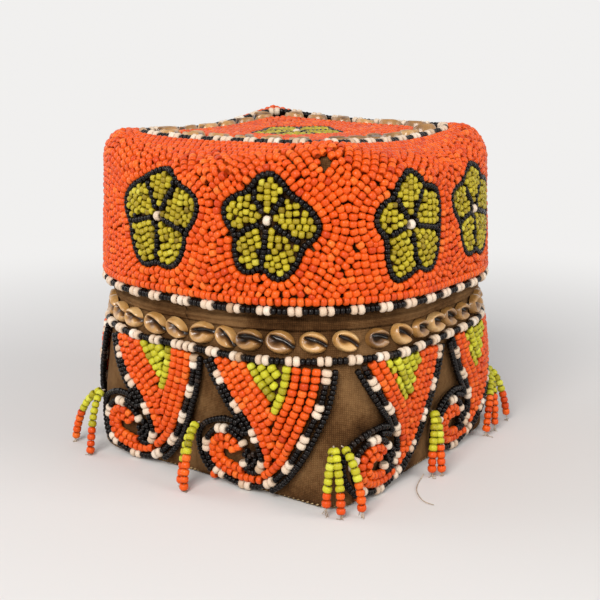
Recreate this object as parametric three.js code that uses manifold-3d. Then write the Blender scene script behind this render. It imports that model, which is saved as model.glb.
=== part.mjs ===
// A beaded box with a telescoping lid: a stiff plaited basket, square at the base and rounded at the
// mouth, covered in cloth, with bead embroidery, cut shells and bead tassels sewn to the cloth.
// Millimetres, +Z up. The origin is the middle of the basket's base, which stands on z = 0.
// The front face looks along -Y, and places along the wall are measured towards +X from its middle.

import * as THREE from "three";
import { mergeVertices } from "three/addons/utils/BufferGeometryUtils.js";
import Module from "manifold-3d";

const wasm = await Module();
wasm.setup();

// The basket, measured on the outer face of its plaited wall.
const BASE_HALF_WIDTH = 58.2;
const BASE_TIGHT_CORNER = 7;
const BASE_SLACK_CORNER = 22;
const BELLY_HEIGHT = 48;
const BELLY_HALF_WIDTH = 62.1;
const BELLY_TIGHT_CORNER = 37;
const BELLY_SLACK_CORNER = 47;
const MOUTH_HEIGHT = 62;
const MOUTH_HALF_WIDTH = 60.9;
const MOUTH_CORNER = 50;
const NECK_HEIGHT = 44;
const NECK_HALF_WIDTH = 58.6;
const NECK_CORNER = 47;
const RIM_HEIGHT = 6.7;
const RIM_DRAWN_IN = 4;
const BASKET_WALL = 2;
const BASKET_FLOOR = 2.5;

// Layers sewn over the plaiting, and the small gap that separate pieces keep.
const LAYER_GAP = 0.3;
const CLOTH_THICKNESS = 0.6;
const BEADWORK_THICKNESS = 2.8;
const BEAD_STRING_PITCH = 2.95;
const BEAD_STRING_GROOVE = 1;
const ROW_BEAD_RADIUS = 1.75;
const THREAD_RADIUS = 0.7;
const THREAD_DEPTH = 1.1;
const HEM_ABOVE_GROUND = 1;
const COVER_UNDER_LID = 4;

// The lid slides over the neck and rests on the basket's rim.
const LID_CLEARANCE = 0.9;
const LID_WALL = 1.6;
const LID_ABOVE_MOUTH = 0.5;
const SHOULDER_WIDTH = 6;

// The band of folded cloth, the shells and the bead row under the lid.
const BAND_HEIGHT = 5.2;
const BAND_THICKNESS = 1.3;
const SHELL_LENGTH = 8.6;
const SHELL_HEIGHT = 6.8;
const SHELL_RISE = 3.4;
const SHELLS_PER_SIDE = 10;

// The eight V shapes with their scrolls hang under the bead row, about their own middle lines.
const MOTIFS = 8;
const SEEN_MOTIFS = 4;
const FIRST_VEE = -16;
const VEE_SPACING = 49;
const VEE_LEFT = 23.5;
const VEE_RIGHT = 23.3;
const VEE_ABOVE_GROUND = 1.5;
const SCROLL_REACH = 28.8;
const SCROLL_TOP = 26;
const WEDGE_WIDTH = 16;
const WEDGE_DEPTH = 15;
const WEDGE_SHIFT = 2;

// The tassels, each sewn on at one stitch beside a scroll.
const TASSEL_BEFORE_VEE = 28.6;
const STITCH_HEIGHT = 21.5;
const KNOT_RADIUS = 1.6;
const STRANDS = 3;
const STRAND_RADIUS = 1.5;
const STRAND_REACH = 13;
const STRAND_BEND = 0.6;
const STRAND_SPREAD = 5;
const STRAND_TIP_GAP = 0.4;

// The flowers on the lid's side and the panel on its top.
const FIRST_FLOWER = -10;
const FLOWER_SPACING = 43.2;
const FLOWER_HEIGHT = 30;
const FLOWER_RADIUS = 18.5;
const PETAL_SHARES = [1, 0.95, 1.05, 1.05, 0.9];
const PETAL_DIRECTIONS = [91, 8, -64, -120, -198];
const NOTCH_SHARE = 0.62;
const LOBE_SHARE = 0.88;
const BORDER_INSET = 12.5;
const BORDER_CORNER = 12;
const FIELD_CORNER = 8;
const TOP_SHELLS_PER_SIDE = 6;
const TOP_SHELL_SPACING = 11.5;
const TOP_FLOWER_RADIUS = 19;

// How finely the round shapes are cut into facets.
const CORNER_FACETS = 6;
const STRAIGHT_SHARE = 0.2;
const BELLY_STEPS = 3;
const SHOULDER_STEPS = 3;
const ROLL_SIDES = 6;
const STRAND_STEPS = 3;
const STRAND_SIDES = 5;
const SHELL_SIDES = 6;
const THREAD_SIDES = 3;
const CUTTER_RISE = 6;

// Heights and thicknesses that follow from those sizes.
const neckTop = MOUTH_HEIGHT + NECK_HEIGHT;
const basketTop = neckTop + RIM_HEIGHT;
const clothOut = LAYER_GAP + CLOTH_THICKNESS;
const beadsIn = clothOut + LAYER_GAP;
const beadsOut = beadsIn + BEADWORK_THICKNESS;
const rollOut = beadsIn + ROW_BEAD_RADIUS;
const lidRim = MOUTH_HEIGHT + LID_ABOVE_MOUTH;
const lidAllowance = clothOut + LID_CLEARANCE + LID_WALL;
const lidTop = basketTop + LAYER_GAP + LID_WALL;
const topClothTop = lidTop + clothOut;
const topBeadsLow = lidTop + beadsIn;
const bandTop = lidRim - LAYER_GAP;
const bandBottom = bandTop - BAND_HEIGHT;
const shellMiddle = bandBottom - LAYER_GAP - SHELL_HEIGHT / 2;
const bodyRowHeight = shellMiddle - SHELL_HEIGHT / 2 - LAYER_GAP - ROW_BEAD_RADIUS;
const veeTop = bodyRowHeight - ROW_BEAD_RADIUS - LAYER_GAP;
const borderHalfWidth = NECK_HALF_WIDTH + lidAllowance - SHOULDER_WIDTH - BORDER_INSET;
const topShellLine = borderHalfWidth - ROW_BEAD_RADIUS - LAYER_GAP - SHELL_HEIGHT / 2;
const fieldHalfWidth = topShellLine - SHELL_HEIGHT / 2 - LAYER_GAP;

function mix(low, high, share) {
  return low + (high - low) * share;
}

// A wall is a stack of rounded squares. Each station has its place v along the wall, its height,
// half width, the radii of its two kinds of corner, and how far a layer on it moves out and up.
function basketWall() {
  const stations = [];
  for (let step = 0; step <= BELLY_STEPS; step += 1) {
    const share = step / BELLY_STEPS;
    const swell = Math.sin((share * Math.PI) / 2);
    stations.push({
      v: BELLY_HEIGHT * share,
      z: BELLY_HEIGHT * share,
      half: mix(BASE_HALF_WIDTH, BELLY_HALF_WIDTH, swell),
      tight: mix(BASE_TIGHT_CORNER, BELLY_TIGHT_CORNER, share),
      slack: mix(BASE_SLACK_CORNER, BELLY_SLACK_CORNER, share),
      out: 1,
      up: 0,
    });
  }
  const level = (z, half, corner) => ({ v: z, z, half, tight: corner, slack: corner, out: 1, up: 0 });
  stations.push(level(MOUTH_HEIGHT, MOUTH_HALF_WIDTH, MOUTH_CORNER));
  stations.push(level(neckTop, NECK_HALF_WIDTH, NECK_CORNER));
  stations.push(level(basketTop, NECK_HALF_WIDTH - RIM_DRAWN_IN, NECK_CORNER - RIM_DRAWN_IN));
  return stations;
}

// The lid's wall runs beside the basket's neck at its clearance, then turns over a round shoulder.
function lidWall() {
  const rim = stationAt(basketStations, lidRim);
  const wide = (station) => station.half + lidAllowance;
  const round = (station) => station.tight + lidAllowance;
  const neck = stationAt(basketStations, neckTop);
  const stations = [
    { v: lidRim, z: lidRim, half: wide(rim), tight: round(rim), slack: round(rim), out: 1, up: 0 },
    { v: neckTop, z: neckTop, half: wide(neck), tight: round(neck), slack: round(neck), out: 1, up: 0 },
  ];
  const rise = lidTop - neckTop;
  for (let step = 1; step <= SHOULDER_STEPS; step += 1) {
    const angle = (step / SHOULDER_STEPS) * (Math.PI / 2);
    const drawnIn = SHOULDER_WIDTH * (1 - Math.cos(angle));
    const z = neckTop + rise * Math.sin(angle);
    const last = stations[stations.length - 1];
    const half = wide(neck) - drawnIn;
    const normal = new THREE.Vector2(Math.cos(angle) * rise, Math.sin(angle) * SHOULDER_WIDTH).normalize();
    stations.push({
      v: last.v + Math.hypot(half - last.half, z - last.z),
      z,
      half,
      tight: round(neck) - drawnIn,
      slack: round(neck) - drawnIn,
      out: normal.x,
      up: normal.y,
    });
  }
  return stations;
}

function stationAt(stations, v) {
  const found = stations.findIndex((station) => station.v >= v);
  const next = found < 0 ? stations.length - 1 : Math.max(found, 1);
  const low = stations[next - 1];
  const high = stations[next];
  const share = (v - low.v) / (high.v - low.v);
  const blended = {};
  for (const key of Object.keys(low)) {
    blended[key] = mix(low[key], high[key], share);
  }
  return blended;
}

// The grid of a quarter of the wall, from the middle of one face round a corner to the next.
const QUARTER_GRID = [0];
for (let facet = 0; facet <= CORNER_FACETS; facet += 1) {
  QUARTER_GRID.push(mix(STRAIGHT_SHARE, 1 - STRAIGHT_SHARE, facet / CORNER_FACETS));
}
const RING_GRID = [];
for (let quarter = 0; quarter < 4; quarter += 1) {
  RING_GRID.push(...QUARTER_GRID.map((share) => quarter + share));
}

function cornerOf(station, quarter) {
  return quarter % 2 === 0 ? station.tight : station.slack;
}

// A point of the grid, at `share` of a quarter, on the layer that lies `layer` outside the wall.
function gridPoint(station, quarter, share, layer) {
  const half = station.half + station.out * layer;
  const corner = cornerOf(station, quarter) + station.out * layer;
  const straight = half - corner;
  let x = half;
  let y = straight;
  if (share <= STRAIGHT_SHARE) {
    x = (straight * share) / STRAIGHT_SHARE;
    y = -half;
  } else if (share < 1 - STRAIGHT_SHARE) {
    const turn = ((share - STRAIGHT_SHARE) / (1 - 2 * STRAIGHT_SHARE) - 1) * (Math.PI / 2);
    x = straight + corner * Math.cos(turn);
    y = -straight + corner * Math.sin(turn);
  } else {
    y = (-straight * (1 - share)) / STRAIGHT_SHARE;
  }
  const point = new THREE.Vector3(x, y, station.z + station.up * layer);
  return point.applyAxisAngle(new THREE.Vector3(0, 0, 1), (quarter * Math.PI) / 2);
}

// A point anywhere on a layer, on the flat facets between the points of the grid.
function wallPoint(stations, u, v, layer) {
  const station = stationAt(stations, v);
  const turned = ((u % 4) + 4) % 4;
  let place = RING_GRID.findIndex((grid) => grid > turned + 1e-9);
  place = place < 0 ? RING_GRID.length : place;
  const low = RING_GRID[place - 1];
  const high = place < RING_GRID.length ? RING_GRID[place] : 4;
  const from = gridPoint(station, Math.floor(low), low % 1, layer);
  const to = gridPoint(station, Math.floor(high) % 4, high % 1, layer);
  return from.lerp(to, (turned - low) / (high - low));
}

function quarterLength(station, quarter) {
  const corner = cornerOf(station, quarter);
  return 2 * (station.half - corner) + (Math.PI / 2) * corner;
}

function ringLength(station) {
  return 2 * quarterLength(station, 0) + 2 * quarterLength(station, 1);
}

// The height at which distances along a wall are measured. Elsewhere they stretch with each quarter.
function measuringStation(stations) {
  return stationAt(stations, stations === lidStations ? lidRim + FLOWER_HEIGHT : BELLY_HEIGHT);
}

// The grid place u of a point that lies `distance` along the wall from the middle of the front face.
function placeAlong(stations, distance, v) {
  const measured = measuringStation(stations);
  const turns = Math.floor(distance / ringLength(measured));
  let left = distance - turns * ringLength(measured);
  let quarter = 0;
  while (left >= quarterLength(measured, quarter) && quarter < 3) {
    left -= quarterLength(measured, quarter);
    quarter += 1;
  }
  const station = stationAt(stations, v);
  left *= quarterLength(station, quarter) / quarterLength(measured, quarter);
  const corner = cornerOf(station, quarter);
  const straight = station.half - corner;
  const arc = (Math.PI / 2) * corner;
  let share = 1 - (STRAIGHT_SHARE * (quarterLength(station, quarter) - left)) / straight;
  if (left < straight) {
    share = (STRAIGHT_SHARE * left) / straight;
  } else if (left < straight + arc) {
    share = STRAIGHT_SHARE + ((1 - 2 * STRAIGHT_SHARE) * (left - straight)) / arc;
  }
  return turns * 4 + quarter + share;
}

// Triangles as plain lists of points become one indexed solid, on a grid of a hundredth of a micron.
function solidOf(triangles) {
  const geometry = new THREE.BufferGeometry();
  const rounded = (number) => Math.round(number * 1e5) / 1e5;
  const numbers = triangles.flatMap((triangle) => triangle.flatMap((point) => point.toArray().map(rounded)));
  geometry.setAttribute("position", new THREE.Float32BufferAttribute(numbers, 3));
  return mergeVertices(geometry, 1e-4);
}

function volumeOf(triangles) {
  const sixth = (triangle) => triangle[0].dot(new THREE.Vector3().crossVectors(triangle[1], triangle[2])) / 6;
  return triangles.reduce((sum, triangle) => sum + sixth(triangle), 0);
}

function facingOut(triangles) {
  return volumeOf(triangles) < 0 ? triangles.map(([a, b, c]) => [a, c, b]) : triangles;
}

// Rings joined in order. A closed loop of rings makes a hoop, and an open stack gets two flat ends.
function loft(rings, closed) {
  const triangles = [];
  const count = rings[0].length;
  const last = closed ? rings.length : rings.length - 1;
  for (let row = 0; row < last; row += 1) {
    const low = rings[row];
    const high = rings[(row + 1) % rings.length];
    for (let side = 0; side < count; side += 1) {
      const next = (side + 1) % count;
      triangles.push([low[side], low[next], high[next]]);
      triangles.push([low[side], high[next], high[side]]);
    }
  }
  if (!closed) {
    for (let side = 1; side < count - 1; side += 1) {
      triangles.push([rings[0][0], rings[0][side + 1], rings[0][side]]);
      const end = rings[rings.length - 1];
      triangles.push([end[0], end[side], end[side + 1]]);
    }
  }
  return solidOf(facingOut(triangles));
}

function ringAt(station, layer) {
  return RING_GRID.map((grid) => gridPoint(station, Math.floor(grid), grid % 1, layer));
}

function stationsBetween(stations, from, to) {
  const inner = stations.filter((station) => station.v > from + 1e-6 && station.v < to - 1e-6);
  return [stationAt(stations, from), ...inner, stationAt(stations, to)];
}

// A band of one thickness that goes all round the wall.
function wallBand(stations, from, to, inner, outer) {
  const span = stationsBetween(stations, from, to);
  const up = span.map((station) => ringAt(station, outer));
  const down = span.map((station) => ringAt(station, inner)).reverse();
  return loft([...up, ...down], true);
}

// A band of beadwork: its strings of beads show as ribs round the wall, with a groove between two.
function beadedBand(stations, from, to) {
  const strings = Math.round((to - from) / BEAD_STRING_PITCH);
  const up = [];
  for (let half = 0; half <= 2 * strings; half += 1) {
    const station = stationAt(stations, mix(from, to, half / (2 * strings)));
    up.push(ringAt(station, half % 2 === 0 ? beadsOut - BEAD_STRING_GROOVE : beadsOut));
  }
  const down = stationsBetween(stations, from, to).map((station) => ringAt(station, beadsIn)).reverse();
  return loft([...up, ...down], true);
}

// A row of beads round the wall, as a plain roll.
function wallRoll(stations, height, radius) {
  const rings = [];
  for (let side = 0; side < ROLL_SIDES; side += 1) {
    const angle = ((side + 0.5) / ROLL_SIDES) * 2 * Math.PI;
    const station = stationAt(stations, height + radius * Math.sin(angle));
    rings.push(ringAt(station, rollOut + radius * Math.cos(angle)));
  }
  return loft(rings, true);
}

// A block as deep as the beadwork and more, with an outline given in grid places (u, v).
function wallCutter(stations, outline) {
  const contour = THREE.ShapeUtils.isClockWise(outline) ? [...outline].reverse() : outline;
  const under = contour.map((point) => wallPoint(stations, point.x, point.y, beadsIn - LAYER_GAP));
  const over = contour.map((point) => wallPoint(stations, point.x, point.y, beadsOut + CUTTER_RISE));
  const triangles = [];
  for (const [a, b, c] of THREE.ShapeUtils.triangulateShape(contour, [])) {
    triangles.push([over[a], over[b], over[c]]);
    triangles.push([under[a], under[c], under[b]]);
  }
  contour.forEach((point, from) => {
    const to = (from + 1) % contour.length;
    if (under[from].distanceTo(over[to]) < under[to].distanceTo(over[from])) {
      triangles.push([under[from], under[to], over[to]], [under[from], over[to], over[from]]);
    } else {
      triangles.push([under[from], under[to], over[from]], [under[to], over[to], over[from]]);
    }
  });
  return solidOf(facingOut(triangles));
}

// Beadwork of an outline: that part of a band round the wall which lies within it.
function wallPlate(stations, outline) {
  const heights = outline.map((point) => point.y);
  const low = Math.min(...heights) - LAYER_GAP;
  const high = Math.max(...heights) + LAYER_GAP;
  const band = beadedBand(stations, low, high);
  return geometryOf(manifoldOf(band).intersect(manifoldOf(wallCutter(stations, outline))));
}

// Moves an outline drawn in millimetres about a middle line on to the grid of a wall.
function onWall(stations, outline, along) {
  return outline.map((point) => new THREE.Vector2(placeAlong(stations, along + point.x, point.y), point.y));
}

function manifoldOf(geometry) {
  const clean = geometry.clone();
  clean.deleteAttribute("normal");
  clean.deleteAttribute("uv");
  const merged = mergeVertices(clean, 1e-4);
  const corners = merged.getIndex().array;
  const place = (corner) => new THREE.Vector3().fromBufferAttribute(merged.getAttribute("position"), corner);
  const triangles = [];
  for (let first = 0; first < corners.length; first += 3) {
    triangles.push([0, 1, 2].map((corner) => place(corners[first + corner])));
  }
  const outward = solidOf(facingOut(triangles));
  const mesh = new wasm.Mesh({
    numProp: 3,
    vertProperties: outward.getAttribute("position").array,
    triVerts: new Uint32Array(outward.getIndex().array),
  });
  return new wasm.Manifold(mesh);
}

function geometryOf(manifold) {
  const mesh = manifold.getMesh();
  const geometry = new THREE.BufferGeometry();
  geometry.setAttribute("position", new THREE.Float32BufferAttribute(mesh.vertProperties, 3));
  geometry.setIndex(new THREE.Uint32BufferAttribute(mesh.triVerts, 1));
  return geometry;
}

function joined(geometries) {
  return geometryOf(geometries.map(manifoldOf).reduce((whole, part) => whole.add(part)));
}

// The frame of a place on the wall: along it, up it, and out from it.
function frameOnWall(stations, along, v, layer) {
  const place = (sideways, upward) => {
    const u = placeAlong(stations, along + sideways, v);
    return wallPoint(stations, u, v + upward, layer);
  };
  const side = place(1, 0).sub(place(-1, 0)).normalize();
  const slope = place(0, 1).sub(place(0, -1));
  const out = new THREE.Vector3().crossVectors(side, slope).normalize();
  const up = new THREE.Vector3().crossVectors(out, side);
  return new THREE.Matrix4().makeBasis(side, up, out).setPosition(place(0, 0));
}

// The same place, but with its second axis plumb.
function uprightFrame(stations, along, v, layer) {
  const leaning = frameOnWall(stations, along, v, layer);
  const side = new THREE.Vector3().setFromMatrixColumn(leaning, 0);
  const up = new THREE.Vector3(0, 0, 1);
  const out = new THREE.Vector3().crossVectors(side, up);
  return new THREE.Matrix4().makeBasis(side, up, out).copyPosition(leaning);
}

function basketCore() {
  const outer = basketStations.map((station) => ringAt(station, 0));
  const inside = stationsBetween(basketStations, BASKET_FLOOR, basketTop);
  const inner = inside.map((station) => ringAt(station, -BASKET_WALL)).reverse();
  return loft([...outer, ...inner], false);
}

function lidCore() {
  const outer = lidStations.map((station) => ringAt(station, 0));
  const inner = lidStations.map((station) => ringAt(station, -LID_WALL));
  return loft([...outer.reverse(), ...inner], false);
}

function lidCloth() {
  const outer = lidStations.map((station) => ringAt(station, clothOut));
  const inner = lidStations.map((station) => ringAt(station, LAYER_GAP));
  return loft([...outer.reverse(), ...inner], false);
}

// A cut shell: a low dome on a flat cut base.
function shellDome() {
  const profile = [
    new THREE.Vector2(0, 0),
    new THREE.Vector2(0.5, 0),
    new THREE.Vector2(0.42, 0.65),
    new THREE.Vector2(0, 1),
  ];
  const dome = new THREE.LatheGeometry(profile, SHELL_SIDES);
  dome.rotateX(Math.PI / 2);
  return dome.scale(SHELL_LENGTH, SHELL_HEIGHT, SHELL_RISE);
}

// Shells at their places, held together by the sewing thread that runs through them all.
function strungShells(places) {
  const section = [];
  for (let side = 0; side < THREAD_SIDES; side += 1) {
    const angle = (side / THREAD_SIDES) * 2 * Math.PI + Math.PI / 2;
    section.push(new THREE.Vector3(0, Math.cos(angle), Math.sin(angle)).multiplyScalar(THREAD_RADIUS));
  }
  const lifted = section.map((point) => point.setZ(point.z + THREAD_DEPTH));
  const rings = places.map((place) => lifted.map((point) => point.clone().applyMatrix4(place)));
  return joined([loft(rings, false), ...places.map((place) => shellDome().applyMatrix4(place))]);
}

// One side's string of shells on the body.
function shellString(quarter) {
  const measured = measuringStation(basketStations);
  const corner = (side) => {
    let distance = quarterLength(measured, 0) / 2;
    for (let passed = 1; passed <= side; passed += 1) {
      distance += (quarterLength(measured, passed - 1) + quarterLength(measured, passed % 4)) / 2;
    }
    return distance;
  };
  const start = corner(quarter);
  const pitch = (corner(quarter + 1) - start) / SHELLS_PER_SIDE;
  const places = [];
  for (let index = 0; index < SHELLS_PER_SIDE; index += 1) {
    places.push(frameOnWall(basketStations, start + (index + 0.5) * pitch, shellMiddle, beadsIn));
  }
  return strungShells(places);
}

// Where the motifs sit: the ones on the two faces that are seen lie closer than the others.
function motifPlaces(first, spacing, around) {
  const rest = (around - (SEEN_MOTIFS - 1) * spacing) / (MOTIFS - SEEN_MOTIFS + 1);
  const places = [];
  for (let motif = 0; motif < MOTIFS; motif += 1) {
    const close = Math.min(motif, SEEN_MOTIFS - 1);
    places.push(first + close * spacing + (motif - close) * rest);
  }
  return places;
}

function wedgeCorners(inset) {
  const low = veeTop - WEDGE_DEPTH;
  return [
    new THREE.Vector2(WEDGE_SHIFT - WEDGE_WIDTH / 2 + inset, veeTop),
    new THREE.Vector2(WEDGE_SHIFT + WEDGE_WIDTH / 5, low + 2 * inset),
    new THREE.Vector2(WEDGE_SHIFT + WEDGE_WIDTH / 2 - inset, veeTop),
  ];
}

// The V tapers from the bead row, rounds the bottom and curls to the left into its scroll.
function veeOutline() {
  const at = (reach, share) => new THREE.Vector2(reach, mix(VEE_ABOVE_GROUND, SCROLL_TOP, share));
  const [left, apex, right] = wedgeCorners(0);
  return [
    new THREE.Vector2(-VEE_LEFT, veeTop),
    at(-0.81 * VEE_LEFT, 1.37),
    at(-0.58 * VEE_LEFT, 1.08),
    at(-0.7 * SCROLL_REACH, 1),
    at(-0.91 * SCROLL_REACH, 0.83),
    at(-SCROLL_REACH, 0.54),
    at(-0.98 * SCROLL_REACH, 0.29),
    at(-0.84 * SCROLL_REACH, 0.09),
    at(-0.58 * SCROLL_REACH, 0),
    at(-0.13 * SCROLL_REACH, 0),
    at(0.1 * VEE_RIGHT, 0.09),
    at(0.36 * VEE_RIGHT, 0.28),
    at(0.6 * VEE_RIGHT, 0.54),
    at(0.78 * VEE_RIGHT, 0.86),
    at(0.92 * VEE_RIGHT, 1.24),
    new THREE.Vector2(VEE_RIGHT, veeTop),
    right,
    apex,
    left,
  ];
}

function tasselGeometry(along) {
  const place = uprightFrame(basketStations, along, STITCH_HEIGHT, beadsIn + KNOT_RADIUS);
  const drop = STITCH_HEIGHT - STRAND_RADIUS - STRAND_TIP_GAP;
  const corners = [];
  for (let side = 0; side < STRAND_SIDES; side += 1) {
    const angle = (side / STRAND_SIDES) * 2 * Math.PI;
    corners.push(new THREE.Vector2(STRAND_RADIUS * Math.cos(angle), STRAND_RADIUS * Math.sin(angle)));
  }
  const section = new THREE.Shape(corners);
  const pieces = [new THREE.SphereGeometry(KNOT_RADIUS, 6, 4)];
  for (let strand = 0; strand < STRANDS; strand += 1) {
    const sideways = (strand - (STRANDS - 1) / 2) * STRAND_SPREAD;
    const path = new THREE.QuadraticBezierCurve3(
      new THREE.Vector3(0, 0, 0),
      new THREE.Vector3(sideways / 4, -drop / 6, STRAND_REACH * STRAND_BEND),
      new THREE.Vector3(sideways, -drop, STRAND_REACH),
    );
    const strandOptions = { steps: STRAND_STEPS, bevelEnabled: false, extrudePath: path };
    pieces.push(new THREE.ExtrudeGeometry(section, strandOptions));
  }
  return joined(pieces).applyMatrix4(place);
}

// A flower of five petals, each a rounded lobe between two notches.
function flowerOutline(radius, shares, inset) {
  const points = [];
  const notch = NOTCH_SHARE * radius - inset;
  shares.forEach((share, petal) => {
    const length = radius * share - inset;
    const direction = PETAL_DIRECTIONS[petal];
    const following = PETAL_DIRECTIONS[(petal + 1) % shares.length];
    const after = following < direction ? following : following - 360;
    const gap = (direction - after) / 2;
    const at = (degrees, reach) => {
      const angle = THREE.MathUtils.degToRad(degrees);
      points.push(new THREE.Vector2(reach * Math.cos(angle), reach * Math.sin(angle)));
    };
    at(direction + gap / 2, length * LOBE_SHARE);
    at(direction, length);
    at(direction - gap / 2, length * LOBE_SHARE);
    at(direction - gap, notch);
  });
  return points;
}

function sideFlower(inset) {
  const middle = lidRim + FLOWER_HEIGHT;
  const lift = (point) => new THREE.Vector2(point.x, point.y + middle);
  return flowerOutline(FLOWER_RADIUS, PETAL_SHARES, inset).map(lift);
}

// The lid's orange beadwork goes once round the wall and over the shoulder, open at the flowers.
function sideBeadwork(places) {
  const low = lidRim + 2 * ROW_BEAD_RADIUS + LAYER_GAP;
  const high = lidStations[lidStations.length - 1].v;
  const sheet = beadedBand(lidStations, low, high);
  const outlines = places.map((along) => onWall(lidStations, sideFlower(0), along));
  const openings = outlines.map((outline) => manifoldOf(wallCutter(lidStations, outline)));
  return geometryOf(openings.reduce((rest, opening) => rest.subtract(opening), manifoldOf(sheet)));
}

function roundedSquare(half, corner) {
  const straight = half - corner;
  const shape = new THREE.Shape();
  shape.moveTo(-straight, -half);
  shape.lineTo(straight, -half);
  shape.absarc(straight, -straight, corner, -Math.PI / 2, 0);
  shape.lineTo(half, straight);
  shape.absarc(straight, straight, corner, 0, Math.PI / 2);
  shape.lineTo(-straight, half);
  shape.absarc(-straight, straight, corner, Math.PI / 2, Math.PI);
  shape.lineTo(-half, -straight);
  shape.absarc(-straight, -straight, corner, Math.PI, 1.5 * Math.PI);
  return shape;
}

// Flat beadwork on the lid's top, cut to an outline that may have an opening in it.
function topPlate(outline, openings) {
  outline.holes.push(...openings);
  const plate = new THREE.ExtrudeGeometry(outline, {
    depth: BEADWORK_THICKNESS,
    bevelEnabled: false,
    curveSegments: 4,
  });
  return plate.translate(0, 0, topBeadsLow);
}

function topOuterBeadwork() {
  const edge = lidStations[lidStations.length - 1];
  const half = edge.half - LAYER_GAP;
  const corner = edge.tight - LAYER_GAP;
  const rim = ringAt({ ...edge, half, tight: corner, slack: corner }, 0);
  const outline = new THREE.Shape(rim.map((point) => new THREE.Vector2(point.x, point.y)));
  const room = ROW_BEAD_RADIUS + LAYER_GAP;
  return topPlate(outline, [roundedSquare(borderHalfWidth + room, BORDER_CORNER + room)]);
}

// One side's string of shells inside the border of the lid's top.
function topShellString(side) {
  const places = [];
  for (let index = 0; index < TOP_SHELLS_PER_SIDE; index += 1) {
    const along = (index - (TOP_SHELLS_PER_SIDE - 1) / 2) * TOP_SHELL_SPACING;
    places.push(new THREE.Matrix4().makeTranslation(along, -topShellLine, topClothTop + LAYER_GAP));
  }
  return strungShells(places).rotateZ((side * Math.PI) / 2);
}

function topFlowerShape(inset) {
  return new THREE.Shape(flowerOutline(TOP_FLOWER_RADIUS, PETAL_DIRECTIONS.map(() => 1), inset));
}

function topRoll() {
  const rings = [];
  for (let side = 0; side < ROLL_SIDES; side += 1) {
    const angle = ((side + 0.5) / ROLL_SIDES) * 2 * Math.PI;
    const offset = ROW_BEAD_RADIUS * Math.cos(angle);
    const outline = roundedSquare(borderHalfWidth + offset, BORDER_CORNER + offset).getPoints(2).slice(0, -1);
    const height = topBeadsLow + ROW_BEAD_RADIUS * (1 + Math.sin(angle));
    rings.push(outline.map((point) => new THREE.Vector3(point.x, point.y, height)));
  }
  return loft(rings, true);
}

const basketStations = basketWall();
const lidStations = lidWall();

const material = (color, roughness) => new THREE.MeshStandardMaterial({ color, roughness, metalness: 0 });
const plaiting = () => material(0x9c7c50, 0.85);
const brownCloth = () => material(0x5d4a35, 0.95);
const orangeBeads = () => material(0xe8601f, 0.35);
const greenBeads = () => material(0xb5b02e, 0.35);
const blackAndWhiteBeads = () => material(0x8a8078, 0.35);
const shell = () => material(0xc99a55, 0.45);

function piece(group, name, geometry, finish) {
  const mesh = new THREE.Mesh(geometry, finish);
  mesh.name = name;
  group.add(mesh);
}

// The body: basket, cloth cover, band, bead row, shells, V shapes and tassels.
function bodyGroup() {
  const group = new THREE.Group();
  piece(group, "body_basket", basketCore(), plaiting());
  const coverTop = MOUTH_HEIGHT + COVER_UNDER_LID;
  const cover = wallBand(basketStations, HEM_ABOVE_GROUND, coverTop, LAYER_GAP, clothOut);
  piece(group, "body_cloth_cover", cover, brownCloth());
  const band = wallBand(basketStations, bandBottom, bandTop, beadsIn, beadsIn + BAND_THICKNESS);
  piece(group, "body_cloth_band", band, brownCloth());
  piece(group, "body_bead_row", wallRoll(basketStations, bodyRowHeight, ROW_BEAD_RADIUS), blackAndWhiteBeads());
  for (let side = 0; side < 4; side += 1) {
    piece(group, `body_shell_string_${side + 1}`, shellString(side), shell());
  }
  const around = ringLength(measuringStation(basketStations));
  motifPlaces(FIRST_VEE, VEE_SPACING, around).forEach((along, index) => {
    const vee = onWall(basketStations, veeOutline(), along);
    const wedge = onWall(basketStations, wedgeCorners(LAYER_GAP), along);
    const tassel = tasselGeometry(along - TASSEL_BEFORE_VEE);
    piece(group, `vee_${index + 1}`, wallPlate(basketStations, vee), orangeBeads());
    piece(group, `vee_wedge_${index + 1}`, wallPlate(basketStations, wedge), greenBeads());
    piece(group, `tassel_${index + 1}`, tassel, greenBeads());
  });
  return group;
}

// The lid: its own basket, cloth, beadwork with eight flowers, and the decorated top.
function lidGroup() {
  const group = new THREE.Group();
  piece(group, "lid_basket", lidCore(), plaiting());
  piece(group, "lid_cloth_cover", lidCloth(), brownCloth());
  const row = wallRoll(lidStations, lidRim + ROW_BEAD_RADIUS, ROW_BEAD_RADIUS);
  piece(group, "lid_rim_bead_row", row, blackAndWhiteBeads());
  const around = ringLength(measuringStation(lidStations));
  const places = motifPlaces(FIRST_FLOWER, FLOWER_SPACING, around);
  piece(group, "lid_side_beadwork", sideBeadwork(places), orangeBeads());
  places.forEach((along, index) => {
    const flower = onWall(lidStations, sideFlower(LAYER_GAP), along);
    piece(group, `lid_flower_${index + 1}`, wallPlate(lidStations, flower), greenBeads());
  });
  piece(group, "lid_top_outer_beadwork", topOuterBeadwork(), orangeBeads());
  piece(group, "lid_top_border_row", topRoll(), blackAndWhiteBeads());
  for (let side = 0; side < 4; side += 1) {
    piece(group, `lid_top_shell_string_${side + 1}`, topShellString(side), shell());
  }
  const field = topPlate(roundedSquare(fieldHalfWidth, FIELD_CORNER), [topFlowerShape(0)]);
  piece(group, "lid_top_field", field, orangeBeads());
  piece(group, "lid_top_flower", topPlate(topFlowerShape(LAYER_GAP), []), greenBeads());
  return group;
}

const box = new THREE.Group();
box.add(bodyGroup(), lidGroup());

export default box;
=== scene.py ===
import itertools
import math
import random

import bmesh
import bpy
import numpy as np
from mathutils import Matrix, Vector, noise


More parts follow.
